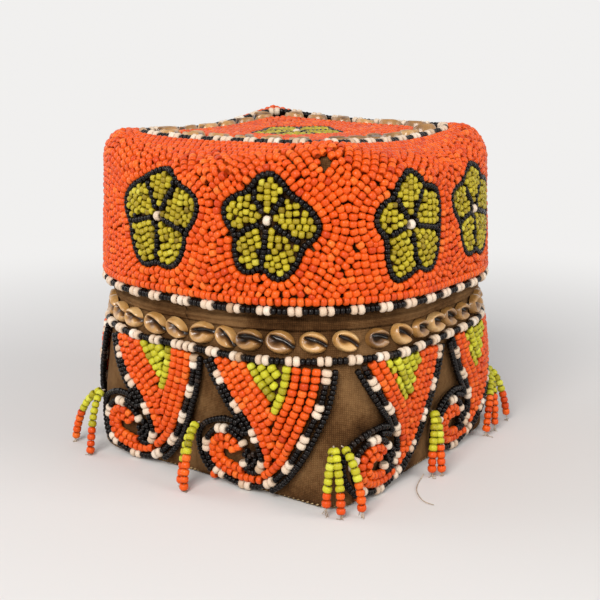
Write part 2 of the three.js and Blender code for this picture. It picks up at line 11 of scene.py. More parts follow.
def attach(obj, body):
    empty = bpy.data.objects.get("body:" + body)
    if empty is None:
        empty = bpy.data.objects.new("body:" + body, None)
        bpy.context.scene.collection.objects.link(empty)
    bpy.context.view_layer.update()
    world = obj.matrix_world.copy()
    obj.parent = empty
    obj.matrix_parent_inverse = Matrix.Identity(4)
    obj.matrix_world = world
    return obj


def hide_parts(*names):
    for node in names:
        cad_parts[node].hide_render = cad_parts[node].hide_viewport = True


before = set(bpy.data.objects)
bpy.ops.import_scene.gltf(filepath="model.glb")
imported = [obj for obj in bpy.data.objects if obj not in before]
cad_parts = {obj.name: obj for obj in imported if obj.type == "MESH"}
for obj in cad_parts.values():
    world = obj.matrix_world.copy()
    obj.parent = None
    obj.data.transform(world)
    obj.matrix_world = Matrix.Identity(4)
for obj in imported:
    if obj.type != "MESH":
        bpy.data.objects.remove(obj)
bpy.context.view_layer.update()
mm = 0.001

# The body's basket. It is plaited from flat strips of split palm, one over and one under, square
# at the base and rounder towards the mouth, and it carries everything sewn to the body. Its bottom
# edge is bound with a two-ply twist of the same fibre.
STRIP_PITCH = 4.8 * mm
STRIP_WIDTH = 4.3 * mm
STRIP_THICKNESS = 0.45 * mm
STRIP_WAVE = 0.45 * mm
BELLY_HEIGHT = 48 * mm
MOUTH_HEIGHT = 62 * mm
NECK_TOP = 106 * mm
BASKET_TOP = 112.7 * mm
LID_TOP = 114.6 * mm
FLOOR_HEIGHT = 1.3 * mm
FLOOR_HALF = 57 * mm
WALL_DEPTH = mm
MOUTH_CORD_RADIUS = 1.1 * mm
MOUTH_CORD_DROP = 1.2 * mm
BINDING_RADIUS = 0.42 * mm
BINDING_TWIST = 3.6 * mm
BINDING_HEIGHT = 1.1 * mm
BINDING_STEPS = 600

# Half width, tight corner and slack corner of the basket in mm, from its base up to its top.
BASE_SIZES = (58.2, 7, 22)
BELLY_SIZES = (62.1, 37, 47)
MOUTH_SIZES = (60.9, 50, 50)
NECK_SIZES = (58.6, 47, 47)
TOP_SIZES = (54.6, 43, 43)

# The settling: where it begins, how far it reaches, and its depths in mm.
SETTLING_FROM = 98 * mm
EDGE_FROM = 106 * mm
SETTLING_WIDTH = 58 * mm
SETTLING_REACH = 0.77
CORNER_SHARE = 0.6
CROWN_HALF = 44 * mm
EDGE_DROP = 4.0
EDGE_STEEPNESS = 3
SAG = 2.6
SAG_TILT = (-0.8, 0.6)
SAG_ARCH = (0.9, -1.2)
NEAR_RISE, FAR_RISE, RIGHT_RISE = -1.6, 4.6, -1.0


def mix(low, high, share):
    return low + (high - low) * share


def clamp(value, low=0, high=1):
    return min(max(value, low), high)


def between(low, high, share):
    return tuple(mix(first, last, share) * mm for first, last in zip(low, high))


def basket_section(z):
    """Half width, tight corner and slack corner of the basket at a height."""
    if z <= BELLY_HEIGHT:
        share = max(z, 0) / BELLY_HEIGHT
        half = mix(BASE_SIZES[0], BELLY_SIZES[0], math.sin(share * math.pi / 2)) * mm
        return half, *between(BASE_SIZES, BELLY_SIZES, share)[1:]
    if z <= MOUTH_HEIGHT:
        return between(BELLY_SIZES, MOUTH_SIZES, (z - BELLY_HEIGHT) / (MOUTH_HEIGHT - BELLY_HEIGHT))
    if z <= NECK_TOP:
        return between(MOUTH_SIZES, NECK_SIZES, (z - MOUTH_HEIGHT) / (NECK_TOP - MOUTH_HEIGHT))
    return between(NECK_SIZES, TOP_SIZES, (z - NECK_TOP) / (BASKET_TOP - NECK_TOP))


def quarter_length(section, quarter):
    half, tight, slack = section
    corner = slack if quarter % 2 else tight
    return 2 * (half - corner) + math.pi / 2 * corner


def ring_length(section):
    return sum(quarter_length(section, quarter) for quarter in range(4))


def find_quarter(section, s):
    """The side of a rounded square on which the length s ends, and how much of it lies on that side."""
    s %= ring_length(section)
    quarter = 0
    while quarter < 3 and s >= quarter_length(section, quarter):
        s -= quarter_length(section, quarter)
        quarter += 1
    return quarter, s


def square_point(section, measured, s):
    """The point s along a rounded square from the middle of its front side, and the way out."""
    quarter, s = find_quarter(measured, s)
    half, tight, slack = section
    corner = slack if quarter % 2 else tight
    straight = half - corner
    run = s / quarter_length(measured, quarter) * quarter_length(section, quarter)
    if run < straight:
        x, y, angle = run, -half, -math.pi / 2
    elif run < straight + corner * math.pi / 2:
        angle = (run - straight) / corner - math.pi / 2
        x = straight + corner * math.cos(angle)
        y = -straight + corner * math.sin(angle)
    else:
        x, y, angle = half, run - straight - corner * math.pi / 2 - straight, 0
    turn = quarter * math.pi / 2
    cos, sin = math.cos(turn), math.sin(turn)
    angle += turn
    return Vector((x * cos - y * sin, x * sin + y * cos)), Vector((math.cos(angle), math.sin(angle)))


BELLY_SECTION = basket_section(BELLY_HEIGHT)


def settled(point):
    """Basket and lid have sunk together between their top corners, and the far corner stands up."""
    u, v = (clamp(value / SETTLING_WIDTH, -SETTLING_REACH, SETTLING_REACH) for value in point.xy)
    cornered = min(abs(u * v) / CORNER_SHARE, 1)
    sag = SAG + SAG_TILT[0] * u + SAG_ARCH[0] * u * u + SAG_TILT[1] * v + SAG_ARCH[1] * v * v
    corners = mix(mix(NEAR_RISE, FAR_RISE, (v + 1) / 2), RIGHT_RISE, (u + 1) / 2)
    edge = clamp((max(abs(point.x), abs(point.y)) / CROWN_HALF - 1) * EDGE_STEEPNESS)
    level = clamp(u * v / CORNER_SHARE) ** 2
    height = clamp((point.z - SETTLING_FROM) / (LID_TOP - SETTLING_FROM))
    upper = clamp((point.z - EDGE_FROM) / (LID_TOP - EDGE_FROM))
    rise = (corners - sag * (1 - cornered**2)) * height - EDGE_DROP * edge * (1 - level) * upper
    return Vector((point.x, point.y, point.z + rise * mm))


def wall_place(here, facing, below, above, height, climb, out):
    """The settled place out from a wall, and the ways along, up and out there."""
    along = Vector((-facing.y, facing.x, 0))
    up = Vector((*(above - below), climb))
    up = (up - along * up.dot(along)).normalized()
    outward = along.cross(up)
    return settled(Vector((*here, height)) + outward * out), along, up, outward


def basket_place(s, z, out=0.0, x=0.0):
    """A place over the basket's wall, x to the side of the length s along its belly."""
    section = basket_section(z)
    quarter, _ = find_quarter(BELLY_SECTION, s)
    s += x * quarter_length(BELLY_SECTION, quarter) / quarter_length(section, quarter)
    here, facing = square_point(section, BELLY_SECTION, s)
    below, above = (square_point(basket_section(z + step), BELLY_SECTION, s)[0] for step in (-mm, mm))
    return wall_place(here, facing, below, above, z, 2 * mm, out)


def mesh_object(name, points, faces):
    mesh = bpy.data.meshes.new(name)
    mesh.from_pydata([tuple(point) for point in points], [], faces)
    mesh.validate()
    piece = bpy.data.objects.new(name, mesh)
    bpy.context.scene.collection.objects.link(piece)
    return piece


def only(piece):
    bpy.ops.object.select_all(action="DESELECT")
    piece.select_set(True)
    bpy.context.view_layer.objects.active = piece


def apply_modifier(piece, kind, **settings):
    only(piece)
    modifier = piece.modifiers.new(kind.title(), kind)
    for key, value in settings.items():
        setattr(modifier, key, value)
    bpy.ops.object.modifier_apply(modifier=modifier.name)


def smooth(piece):
    only(piece)
    bpy.ops.object.shade_smooth()


def ribbon(points, faces, pairs, flipped=False):
    """A flat strip through pairs of points, added to a list of points and faces."""
    first = len(points)
    for pair in pairs:
        points.extend(pair)
    for at in range(first, len(points) - 2, 2):
        faces.append((at, at + 1, at + 3, at + 2) if flipped else (at, at + 2, at + 3, at + 1))


def plaited_wall(points, faces, place, length, low, high, depth):
    """Strips round a wall and up it, each over one and under the next."""
    columns = 2 * round(length / STRIP_PITCH / 2)
    rows = round((high - low) / STRIP_PITCH)
    rise = (high - low) / rows
    for row in range(rows):
        pairs = []
        for half in range(2 * columns + 1):
            wave = math.cos(math.pi * (half / 2 + row)) * STRIP_WAVE
            spot, _, up, _ = place(length * half / 2 / columns, low + (row + 0.5) * rise, wave - depth)
            pairs.append((spot - up * STRIP_WIDTH / 2, spot + up * STRIP_WIDTH / 2))
        ribbon(points, faces, pairs)
    for column in range(columns):
        pairs = []
        for half in range(2 * rows + 1):
            wave = math.cos(math.pi * (half / 2 - 0.5 + column)) * STRIP_WAVE
            spot, along, _, _ = place(length * column / columns, low + half / 2 * rise, -depth - wave)
            pairs.append((spot - along * STRIP_WIDTH / 2, spot + along * STRIP_WIDTH / 2))
        ribbon(points, faces, pairs, flipped=True)


def square_reach(section, across):
    """How far a rounded square reaches each way at a distance from its middle line."""
    half, tight, slack = section
    ends = []
    for end in (-1, 1):
        corner = slack if (end > 0) == (across > 0) else tight
        over = abs(across) - (half - corner)
        ends.append(end * (half if over <= 0 else half - corner + math.sqrt(max(corner**2 - over**2, 0))))
    return ends


def plaited_sheet(points, faces, section, half_width, height):
    """Flat plaiting across the bottom or the top, cut to the outline of a section."""
    count = int(half_width / STRIP_PITCH)
    for axis in range(2):
        for strip in range(-count, count + 1):
            across = strip * STRIP_PITCH
            start, end = square_reach(section, across)
            steps = max(2, 2 * round((end - start) / STRIP_PITCH))
            pairs = []
            for half in range(steps + 1):
                along = mix(start, end, half / steps)
                wave = math.cos(math.pi * (along / STRIP_PITCH + strip + axis)) * STRIP_WAVE * 0.8
                spots = [(along, across + side * STRIP_WIDTH / 2) for side in (-1, 1)]
                pairs.append([Vector((*(spot[::-1] if axis else spot), height + wave)) for spot in spots])
            ribbon(points, faces, pairs, flipped=axis == 1)


def tube(points, faces, spots, radius, sides=6, closed=False):
    """A round strand through the spots, added to a list of points and faces."""
    first = len(points)
    count = len(spots)
    for index, spot in enumerate(spots):
        after = spots[(index + 1) % count] if closed or index + 1 < count else spot
        before = spots[index - 1] if closed or index > 0 else spot
        way = (after - before).normalized()
        side = way.cross(Vector((0, 0, 1)) if abs(way.z) < 0.9 else Vector((1, 0, 0))).normalized()
        over = side.cross(way)
        for corner in range(sides):
            angle = 2 * math.pi * corner / sides
            points.append(spot + (side * math.cos(angle) + over * math.sin(angle)) * radius)
    for index in range(count if closed else count - 1):
        low, high = first + index * sides, first + (index + 1) % count * sides
        for corner in range(sides):
            after = (corner + 1) % sides
            faces.append((low + corner, low + after, high + after, high + corner))
    if not closed:
        faces.append(tuple(first + corner for corner in range(sides)))
        faces.append(tuple(first + (count - 1) * sides + corner for corner in reversed(range(sides))))


def feed(tree, socket, value):
    """Give a node's input the output of another node, or a plain value."""
    if isinstance(value, bpy.types.NodeSocket):
        tree.links.new(value, socket)
    else:
        socket.default_value = value


def set_node(tree, kind, **values):
    """A node with its settings and with what its named inputs are fed."""
    node = tree.nodes.new(kind)
    for key, value in values.items():
        if key in node.inputs:
            feed(tree, node.inputs[key], value)
        else:
            setattr(node, key, value)
    return node


def math_node(tree, operation, *values):
    node = set_node(tree, "ShaderNodeMath", operation=operation)
    for socket, value in zip(node.inputs, values):
        feed(tree, socket, value)
    return node.outputs[0]


def new_material(name, roughness, specular=0.5):
    """A material with its nodes and its shader, ready for the pattern of its colour."""
    material = bpy.data.materials.new(name)
    material.use_nodes = True
    shader = material.node_tree.nodes["Principled BSDF"]
    shader.inputs["Roughness"].default_value = roughness
    shader.inputs["Specular IOR Level"].default_value = specular
    return material, material.node_tree, shader


def colour_ramp(tree, factor, stops):
    ramp = set_node(tree, "ShaderNodeValToRGB", Fac=factor)
    elements = ramp.color_ramp.elements
    while len(elements) < len(stops):
        elements.new(0.5)
    for element, (place, colour) in zip(elements, stops):
        element.position = place
        element.color = (*colour, 1)
    return ramp.outputs["Color"]


def object_noise(tree, scale, detail=4.0, stretch=(1, 1, 1)):
    place = set_node(tree, "ShaderNodeTexCoord").outputs["Object"]
    mapping = set_node(tree, "ShaderNodeMapping", Vector=place, Scale=stretch).outputs["Vector"]
    return set_node(tree, "ShaderNodeTexNoise", Vector=mapping, Scale=scale, Detail=detail).outputs["Fac"]


def bump(tree, shader, height, strength, distance):
    node = set_node(tree, "ShaderNodeBump", Height=height, Strength=strength, Distance=distance)
    feed(tree, shader.inputs["Normal"], node.outputs["Normal"])


def palm_material():
    material, tree, shader = new_material("split palm", 0.7, 0.3)
    fibres = object_noise(tree, 900, 3, (1, 1, 0.25))
    tone = math_node(tree, "MULTIPLY_ADD", fibres, 0.45, object_noise(tree, 45, 6))
    stops = [(0.45, (0.11, 0.065, 0.03)), (0.7, (0.36, 0.24, 0.11)), (0.95, (0.52, 0.38, 0.2))]
    feed(tree, shader.inputs["Base Color"], colour_ramp(tree, tone, stops))
    bump(tree, shader, fibres, 0.4, 0.2 * mm)
    return material


palm = palm_material()


def fasten(piece, body, slot, *nodes):
    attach(piece, body)
    if nodes:
        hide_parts(*nodes)


def finish_piece(piece, body, material, slot, *nodes):
    piece.data.materials.clear()
    piece.data.materials.append(material)
    fasten(piece, body, slot, *nodes)


points, faces = [], []
ring = ring_length(BELLY_SECTION)
plaited_wall(points, faces, basket_place, ring, FLOOR_HEIGHT, BASKET_TOP - 0.5 * mm, WALL_DEPTH)
plaited_sheet(points, faces, [size - mm for size in basket_section(0)], FLOOR_HALF, FLOOR_HEIGHT)
plaiting = mesh_object("plaited_body", points, faces)
apply_modifier(plaiting, "SOLIDIFY", thickness=STRIP_THICKNESS, offset=0)
points, faces = [], []
for ply in (0, math.pi):
    spots = []
    for step in range(BINDING_STEPS):
        s = ring * step / BINDING_STEPS
        turn = 2 * math.pi * s / BINDING_TWIST + ply
        sway, lift = math.cos(turn) * BINDING_RADIUS * 0.8, math.sin(turn) * BINDING_RADIUS * 0.8
        spots.append(basket_place(s, BINDING_HEIGHT + lift, 0.15 * mm + sway)[0])
    tube(points, faces, spots, BINDING_RADIUS, closed=True)
mouth_cord = BASKET_TOP - MOUTH_CORD_DROP
mouth = [basket_place(ring * step / 240, mouth_cord, -WALL_DEPTH)[0] for step in range(240)]
tube(points, faces, mouth, MOUTH_CORD_RADIUS, closed=True)
binding = mesh_object("binding", points, faces)
only(plaiting)
binding.select_set(True)
bpy.ops.object.join()
smooth(plaiting)
finish_piece(plaiting, "body", palm, "plaiting", "body_basket")

# The cloth cover of the body. One strip of coarse brown cloth is pulled tight round the basket and
# sewn to it, from the bottom edge to just under the lid. It has faded and stained with use.
COVER_LOW = 0.8 * mm
COVER_HIGH = 66 * mm
COVER_OUT = 0.6 * mm
CLOTH_THICKNESS = 0.35 * mm
WRINKLE = 0.22 * mm
THREAD_SCALE = 520.0


def cloth_material():
    """Plain weave that follows the cloth's own map, with faded and stained places."""
    material, tree, shader = new_material("brown cloth", 0.95, 0.06)
    place = set_node(tree, "ShaderNodeUVMap", uv_map="cloth").outputs["UV"]
    threads = []
    for direction in ("X", "Y"):
        wave = set_node(tree, "ShaderNodeTexWave", bands_direction=direction, Vector=place,
                        Scale=THREAD_SCALE, Distortion=2.5, Detail=2.0)
        threads.append(wave.outputs["Fac"])
    weave = math_node(tree, "MULTIPLY", *threads)
    tone = math_node(tree, "MULTIPLY_ADD", weave, 0.2, object_noise(tree, 55, 5))
    tone = math_node(tree, "MULTIPLY_ADD", object_noise(tree, 700, 2), 0.25, tone)
    stops = [(0.42, (0.018, 0.007, 0.002)), (0.64, (0.085, 0.038, 0.013)), (0.9, (0.21, 0.112, 0.045))]
    feed(tree, shader.inputs["Base Color"], colour_ramp(tree, tone, stops))
    bump(tree, shader, weave, 0.5, 0.2 * mm)
    return material


cloth = cloth_material()


def cloth_sheet(name, rows, closed=False):
    """A sheet through rows of points, each with its place on the flat cloth in metres."""
    width = len(rows[0])
    faces = []
    for low in range(0, (len(rows) - 1) * width, width):
        high = low + width
        for step in range(width if closed else width - 1):
            after = (step + 1) % width
            faces.append((low + step, low + after, high + after, high + step))
    places = [place for row in rows for place in row]
    piece = mesh_object(name, [point for point, _ in places], faces)
    layer = piece.data.uv_layers.new(name="cloth")
    for loop in piece.data.loops:
        layer.data[loop.index].uv = places[loop.vertex_index][1]
    only(piece)
    bpy.ops.object.mode_set(mode="EDIT")
    bpy.ops.mesh.select_all(action="SELECT")
    bpy.ops.mesh.remove_doubles(threshold=0.01 * mm)
    bpy.ops.object.mode_set(mode="OBJECT")
    apply_modifier(piece, "SOLIDIFY", thickness=CLOTH_THICKNESS, offset=0)
    smooth(piece)
    return piece


def cloth_round_basket(name, profile, levels, around, depth):
    """A strip of cloth round the basket, at the height and distance that profile(s, share) gives."""
    rows = []
    for share in (level / levels for level in range(levels + 1)):
        row = []
        for s in (ring * step / around for step in range(around + 1)):
            z, out = profile(s, share)
            ripple = noise.noise(Vector((s * 60, z * 160, 3.0)))
            row.append((basket_place(s, z, out + ripple * WRINKLE)[0], (s, depth * share)))
        rows.append(row)
    return cloth_sheet(name, rows)


def cover_profile(s, share):
    return mix(COVER_LOW, COVER_HIGH, share), COVER_OUT


COVER_DEPTH = COVER_HIGH - COVER_LOW
cover = cloth_round_basket("cloth_cover", cover_profile, 44, 360, COVER_DEPTH)
finish_piece(cover, "body", cloth, "brown_cloth", "body_cloth_cover")

# The band of folded cloth under the lid. A strip is folded over on itself and sewn along the top
# of the cover, where the lid's rim comes down on it, and it lies in soft uneven creases.
BAND_LOW = 56.8 * mm
BAND_HIGH = 62.1 * mm
BAND_BACK = 1.15 * mm
BAND_RISE = 1.1 * mm
BAND_CREASE = 0.45 * mm
BAND_BACK_SHARE = 0.4
BAND_DEPTH = 12.5 * mm


def band_profile(s, share):
    """Up behind, over the fold at the top and down in front, where the creases are."""
    if share < BAND_BACK_SHARE:
        return mix(BAND_LOW + mm, BAND_HIGH - 0.5 * mm, share / BAND_BACK_SHARE), BAND_BACK
    front = (share - BAND_BACK_SHARE) / (1 - BAND_BACK_SHARE)
    drift = noise.noise(Vector((s * 22, 1.0, 0.0)))
    crease = math.sin(2 * math.pi * (2.1 * front + 0.5 * drift)) * BAND_CREASE
    crown = math.sin(math.pi * min(0.12 + 0.88 * front, 1)) ** 0.5
    return mix(BAND_HIGH, BAND_LOW, front), BAND_BACK + 0.2 * mm + crown * (BAND_RISE + crease)


band = cloth_round_basket("cloth_band", band_profile, 24, 420, BAND_DEPTH)
finish_piece(band, "body", cloth, "brown_cloth", "body_cloth_band")

# The row of beads round the belly. Larger white glass beads and small black ones are threaded two
# and three by turns, and the string is stitched down along the lower edge of the shells.
BEAD_SIDES = 10
BEAD_OUT = 2.75 * mm

# The radius and the length of each kind of bead.
BEAD_SIZES = {
    "orange": (1.5 * mm, 2.42 * mm),
    "green": (1.5 * mm, 2.38 * mm),
    "small_orange": (1.2 * mm, 1.9 * mm),
    "small_green": (1.17 * mm, 2.02 * mm),
    "tiny_green": (0.95 * mm, 1.6 * mm),
    "white": (1.66 * mm, 2.45 * mm),
    "black": (1.12 * mm, 1.62 * mm),
    "large_black": (1.25 * mm, 1.75 * mm),
}
BODY_ROW_HEIGHT = 47.8 * mm
BEAD_TILT = 0.1
RADIUS_SPREAD = (0.93, 1.06)
LENGTH_SPREAD = (0.88, 1.05)
# How strongly each bead's ends are darkened with painted shade, and the name under which that painted shade
# is stored on the beads.
PAINTED_SHADE_SPREAD = (0.35, 0.95)
PAINTED_SHADE = "grime"
TONE = "tone"


def model_bead():
    """One seed bead: a short barrel of drawn glass with a dimple at each end of its hole."""
    bpy.ops.object.select_all(action="DESELECT")
    bpy.ops.mesh.primitive_cylinder_add(vertices=BEAD_SIDES, radius=1, depth=0.5)
    bead = bpy.context.object
    bpy.ops.object.mode_set(mode="EDIT")
    for end in (-1, 1):
        bpy.ops.mesh.select_all(action="DESELECT")
        edit = bmesh.from_edit_mesh(bead.data)
        for face in edit.faces:
            face.select = face.normal.z * end > 0.9
        bmesh.update_edit_mesh(bead.data)
        bpy.ops.mesh.extrude_region_move(TRANSFORM_OT_translate={"value": (0, 0, 0.25 * end)})
        bpy.ops.transform.resize(value=(0.72, 0.72, 1))
        bpy.ops.mesh.inset(thickness=0.34)
        bpy.ops.transform.translate(value=(0, 0, -0.16 * end))
    bpy.ops.object.mode_set(mode="OBJECT")
    return bead


bead_model = model_bead()
bead_points = np.array([vertex.co[:] for vertex in bead_model.data.vertices])
bead_faces = [tuple(face.vertices) for face in bead_model.data.polygons]
# Painted shade: a share that grows from the bead's rim in to its hole, so that the ends where beads meet
# come out darker.
bead_end_shade = np.clip(1.15 - np.hypot(bead_points[:, 0], bead_points[:, 1]), 0, 1)
bpy.data.objects.remove(bead_model)


def glass_material(name, stops, roughness, grime, specular=0.22):
    """Opaque glass: each bead has a tone of its own, and painted shade darkens the ends round its hole,
    where neighbouring beads meet.
    """
    material, tree, shader = new_material(name, roughness, specular)
    tone, end_shade_share = (set_node(tree, "ShaderNodeAttribute", attribute_name=attribute).outputs["Fac"]
                  for attribute in (TONE, PAINTED_SHADE))
    mixing = set_node(tree, "ShaderNodeMix", data_type="RGBA", blend_type="MIX")
    for index, value in ((0, end_shade_share), (6, colour_ramp(tree, tone, stops)), (7, (*grime, 1))):
        feed(tree, mixing.inputs[index], value)
    feed(tree, shader.inputs["Base Color"], mixing.outputs[2])
    bump(tree, shader, object_noise(tree, 900, 3), 0.12, 0.25 * mm)
    return material


# The last colour given to each glass is the painted shade at the ends of its beads.
glass = {
    "orange": glass_material("orange glass", [
        (0.0, (0.58, 0.05, 0.004)), (0.25, (0.72, 0.078, 0.005)),
        (0.7, (0.83, 0.112, 0.007)), (1.0, (0.88, 0.17, 0.02)),
    ], 0.34, (0.16, 0.012, 0.004)),
    "green": glass_material("yellow green glass", [
        (0.0, (0.3, 0.25, 0.01)), (0.3, (0.48, 0.43, 0.018)),
        (0.75, (0.62, 0.6, 0.03)), (1.0, (0.72, 0.72, 0.09)),
    ], 0.34, (0.06, 0.042, 0.006)),
    "small_green": glass_material("olive glass", [
        (0.0, (0.22, 0.15, 0.008)), (0.3, (0.38, 0.285, 0.014)),
        (0.75, (0.52, 0.42, 0.02)), (1.0, (0.62, 0.54, 0.06)),
    ], 0.34, (0.05, 0.034, 0.005)),
    "white": glass_material("cream glass", [
        (0.0, (0.5, 0.33, 0.2)), (0.3, (0.72, 0.55, 0.4)),
        (0.8, (0.82, 0.69, 0.55)), (1.0, (0.88, 0.78, 0.66)),
    ], 0.32, (0.22, 0.13, 0.07)),
    "black": glass_material("black glass", [
        (0.0, (0.004, 0.003, 0.003)), (0.8, (0.009, 0.006, 0.005)), (1.0, (0.03, 0.018, 0.012)),
    ], 0.13, (0.003, 0.002, 0.002), 0.16),
}
for large, kind in (("black", "large_black"), ("orange", "small_orange"), ("small_green", "tiny_green")):
    glass[kind] = glass[large]


def stitch_beads(name, beads, body, slot, *nodes):
    """One mesh of many beads. Each is a copy of the one modelled, in its own place, size and tone."""
    chance = random.Random(name)
    count, size = len(beads), len(bead_points)
    frames = np.empty((count, 3, 3))
    for index, (_, axis, out, kind) in enumerate(beads):
        radius, length = BEAD_SIZES[kind]
        radius *= chance.uniform(*RADIUS_SPREAD)
        length *= chance.uniform(*LENGTH_SPREAD)
        tilt = Vector([chance.gauss(0, 1) for _ in range(3)]) * BEAD_TILT
        axis = (axis + tilt).normalized()
        side = axis.cross(out).normalized()
        frames[index] = [side * radius, side.cross(axis) * radius, axis * length]
    centres = np.array([bead[0][:] for bead in beads])
    points = (np.einsum("pk,bkc->bpc", bead_points, frames) + centres[:, None, :]).reshape(-1, 3)
    faces = [tuple(first + corner for corner in face)
             for first in range(0, count * size, size) for face in bead_faces]
    piece = mesh_object(name, points.tolist(), faces)
    smooth(piece)
    kinds = sorted({glass[bead[3]].name for bead in beads})
    for kind in kinds:
        piece.data.materials.append(bpy.data.materials[kind])
    indices = np.repeat([kinds.index(glass[bead[3]].name) for bead in beads], len(bead_faces))
    piece.data.polygons.foreach_set("material_index", indices.astype(np.int32))
    tones = np.repeat([clamp(chance.gauss(0.5, 0.22)) for _ in beads], size)
    # Painted shade at the ends of each bead, stronger on some beads than on others.
    end_shade_share = np.repeat([chance.uniform(*PAINTED_SHADE_SPREAD) for _ in beads], size) * np.tile(bead_end_shade, count)
    for attribute, values in ((TONE, tones), (PAINTED_SHADE, end_shade_share)):
        piece.data.attributes.new(attribute, "FLOAT", "POINT").data.foreach_set("value", values)
    fasten(piece, body, slot, *nodes)


class Ground:
    """The cloth that beads are sewn to, which remembers where there already are some."""

    CELL = 3.5 * mm
    AROUND = list(itertools.product((-1, 0, 1), repeat=3))

    def __init__(self):
        self.cells = {}

    def key(self, point):
        return tuple(math.floor(value / self.CELL) for value in point)

    def add(self, point, radius):
        self.cells.setdefault(self.key(point), []).append((point, radius))

    def free(self, point, radius, closeness):
        middle = self.key(point)
        for x, y, z in self.AROUND:
            for other, size in self.cells.get((middle[0] + x, middle[1] + y, middle[2] + z), ()):
                if (point - other).length < (radius + size) * closeness:
                    return False
        return True


def spaced(line, gap, closed=False):
    """Points along a line, evenly spread."""
    corners = [Vector(point) for point in line]
    if closed:
        corners.append(corners[0])
    result = []
    for start, end in zip(corners, corners[1:]):
        steps = max(1, math.ceil((end - start).length / gap))
        result.extend(start.lerp(end, step / steps) for step in range(steps))
    result.append(corners[-1])
    return result


def rounded(line, rounds=2, closed=False):
    """The line with its corners cut off again and again."""
    points = [Vector(point) for point in line]
    for _ in range(rounds):
        pairs = list(zip(points, points[1:] + points[:1])) if closed else list(zip(points, points[1:]))
        cut = []
        for start, end in pairs:
            cut.extend((start.lerp(end, 0.25), start.lerp(end, 0.75)))
        points = cut if closed else [points[0], *cut[1:-1], points[-1]]
    return points


def run_lengths(line):
    """How far along a line each of its points lies."""
    runs = [0.0]
    for before, after in zip(line, line[1:]):
        runs.append(runs[-1] + (after - before).length)
    return runs


SLIDE = 0.3 * mm
LINE_STEP = 0.7 * mm
ROUNDING = 1e-6


def string_along(place, line, kinds, ground, closed=False, closeness=0.84, accept=None):
    """Beads threaded along a line on the cloth. Those that would sit on others are left out."""
    dense = spaced(line, LINE_STEP, closed)
    spots = [place(point)[0] for point in dense]
    runs = run_lengths(spots)
    total = runs[-1]
    lengths = [BEAD_SIZES[kind][1] for kind in kinds]
    if closed:
        rounds = max(1, round(total / sum(lengths)))
        fit = total / (rounds * sum(lengths))
        lengths = [length * fit for length in lengths]
    threaded = itertools.cycle(zip(kinds, lengths))
    kind, length = next(threaded)
    beads, at, step = [], 0.0, 0
    while at + length <= total + ROUNDING:
        middle = at + length / 2
        while step < len(runs) - 2 and runs[step + 1] < middle:
            step += 1
        share = (middle - runs[step]) / max(runs[step + 1] - runs[step], 1e-9)
        flat = dense[step].lerp(dense[step + 1], share)
        spot, _, _, out = place(flat)
        if (accept is None or accept(flat)) and ground.free(spot, BEAD_SIZES[kind][0], closeness):
            beads.append((spot, (spots[step + 1] - spots[step]).normalized(), out, kind))
            at += length
            kind, length = next(threaded)
        else:
            at += SLIDE
    for spot, _, _, kind in beads:
        ground.add(spot, BEAD_SIZES[kind][0])
    return beads


def basket_beads(point):
    return basket_place(point[0], point[1], BEAD_OUT)


body_ground = Ground()
around_belly = [(ring * step / 400, BODY_ROW_HEIGHT) for step in range(401)]
PAIRS = ["white", "white", "large_black", "large_black", "large_black"]
row = string_along(basket_beads, around_belly, PAIRS, body_ground)
stitch_beads("bead_row_on_the_body", row, "body", "black_white_beads", "body_bead_row")

# The shells under the band. Small sea shells have their backs cut off, so that the curled inside
# shows, and are sewn on edge to edge, all lying the same way.
SHELL_LENGTH = 9.7 * mm
SHELL_WIDTH = 7.4 * mm
SHELL_RISE = 3 * mm
SHELL_LINE = 53.3 * mm
SHELLS_PER_SIDE = 10
SHELL_TONES = 1.4


def shell_material():
    """Cut shell, with painted shade in its cut mouth and hollow, and cloudy brown to cream elsewhere."""
    material, tree, shader = new_material("cut shell", 0.28, 0.5)
    shader.inputs["Coat Weight"].default_value = 0.25
    tone = set_node(tree, "ShaderNodeAttribute", attribute_name=TONE).outputs["Fac"]
    tone = math_node(tree, "MULTIPLY_ADD", object_noise(tree, 260, 4), 0.55, tone)
    # The darkest stop is the painted shade in the shell's mouth and hollow.
    stops = [
        (0.1, (0.015, 0.007, 0.003)), (0.5, (0.13, 0.055, 0.015)),
        (0.85, (0.45, 0.23, 0.065)), (1.2, (0.78, 0.52, 0.24)),
    ]
    stops = [(place / SHELL_TONES, colour) for place, colour in stops]
    tone = math_node(tree, "DIVIDE", tone, SHELL_TONES)
    feed(tree, shader.inputs["Base Color"], colour_ramp(tree, tone, stops))
    bump(tree, shader, object_noise(tree, 500, 3), 0.25, 0.3 * mm)
    return material


def shell_shape(x, y):
    """Height and depth of carving at a place of the cut shell, all as shares of its size; the depth also
    sets the painted shade in the mouth.
    """
    dome = min(1.0, 1.6 * math.sqrt(max(1 - x * x - y * y, 0)))
    share = min(max((x + 0.55) / 1.55, 0), 1)
    line = mix(0.3, -0.12, share) + 0.14 * math.sin(math.pi * share)
    before = max(-0.55 - x, 0)
    slit = math.exp(-(((y - line) / mix(0.12, 0.24, share)) ** 2) - (before / 0.12) ** 2)
    hollow = 0.7 * math.exp(-(((x + 0.22) / 0.42) ** 2) - ((y - 0.02) / 0.34) ** 2)
    carving_and_shade = min(1.0, 1.15 * slit + hollow)
    return dome * (1 - 0.85 * carving_and_shade), carving_and_shade


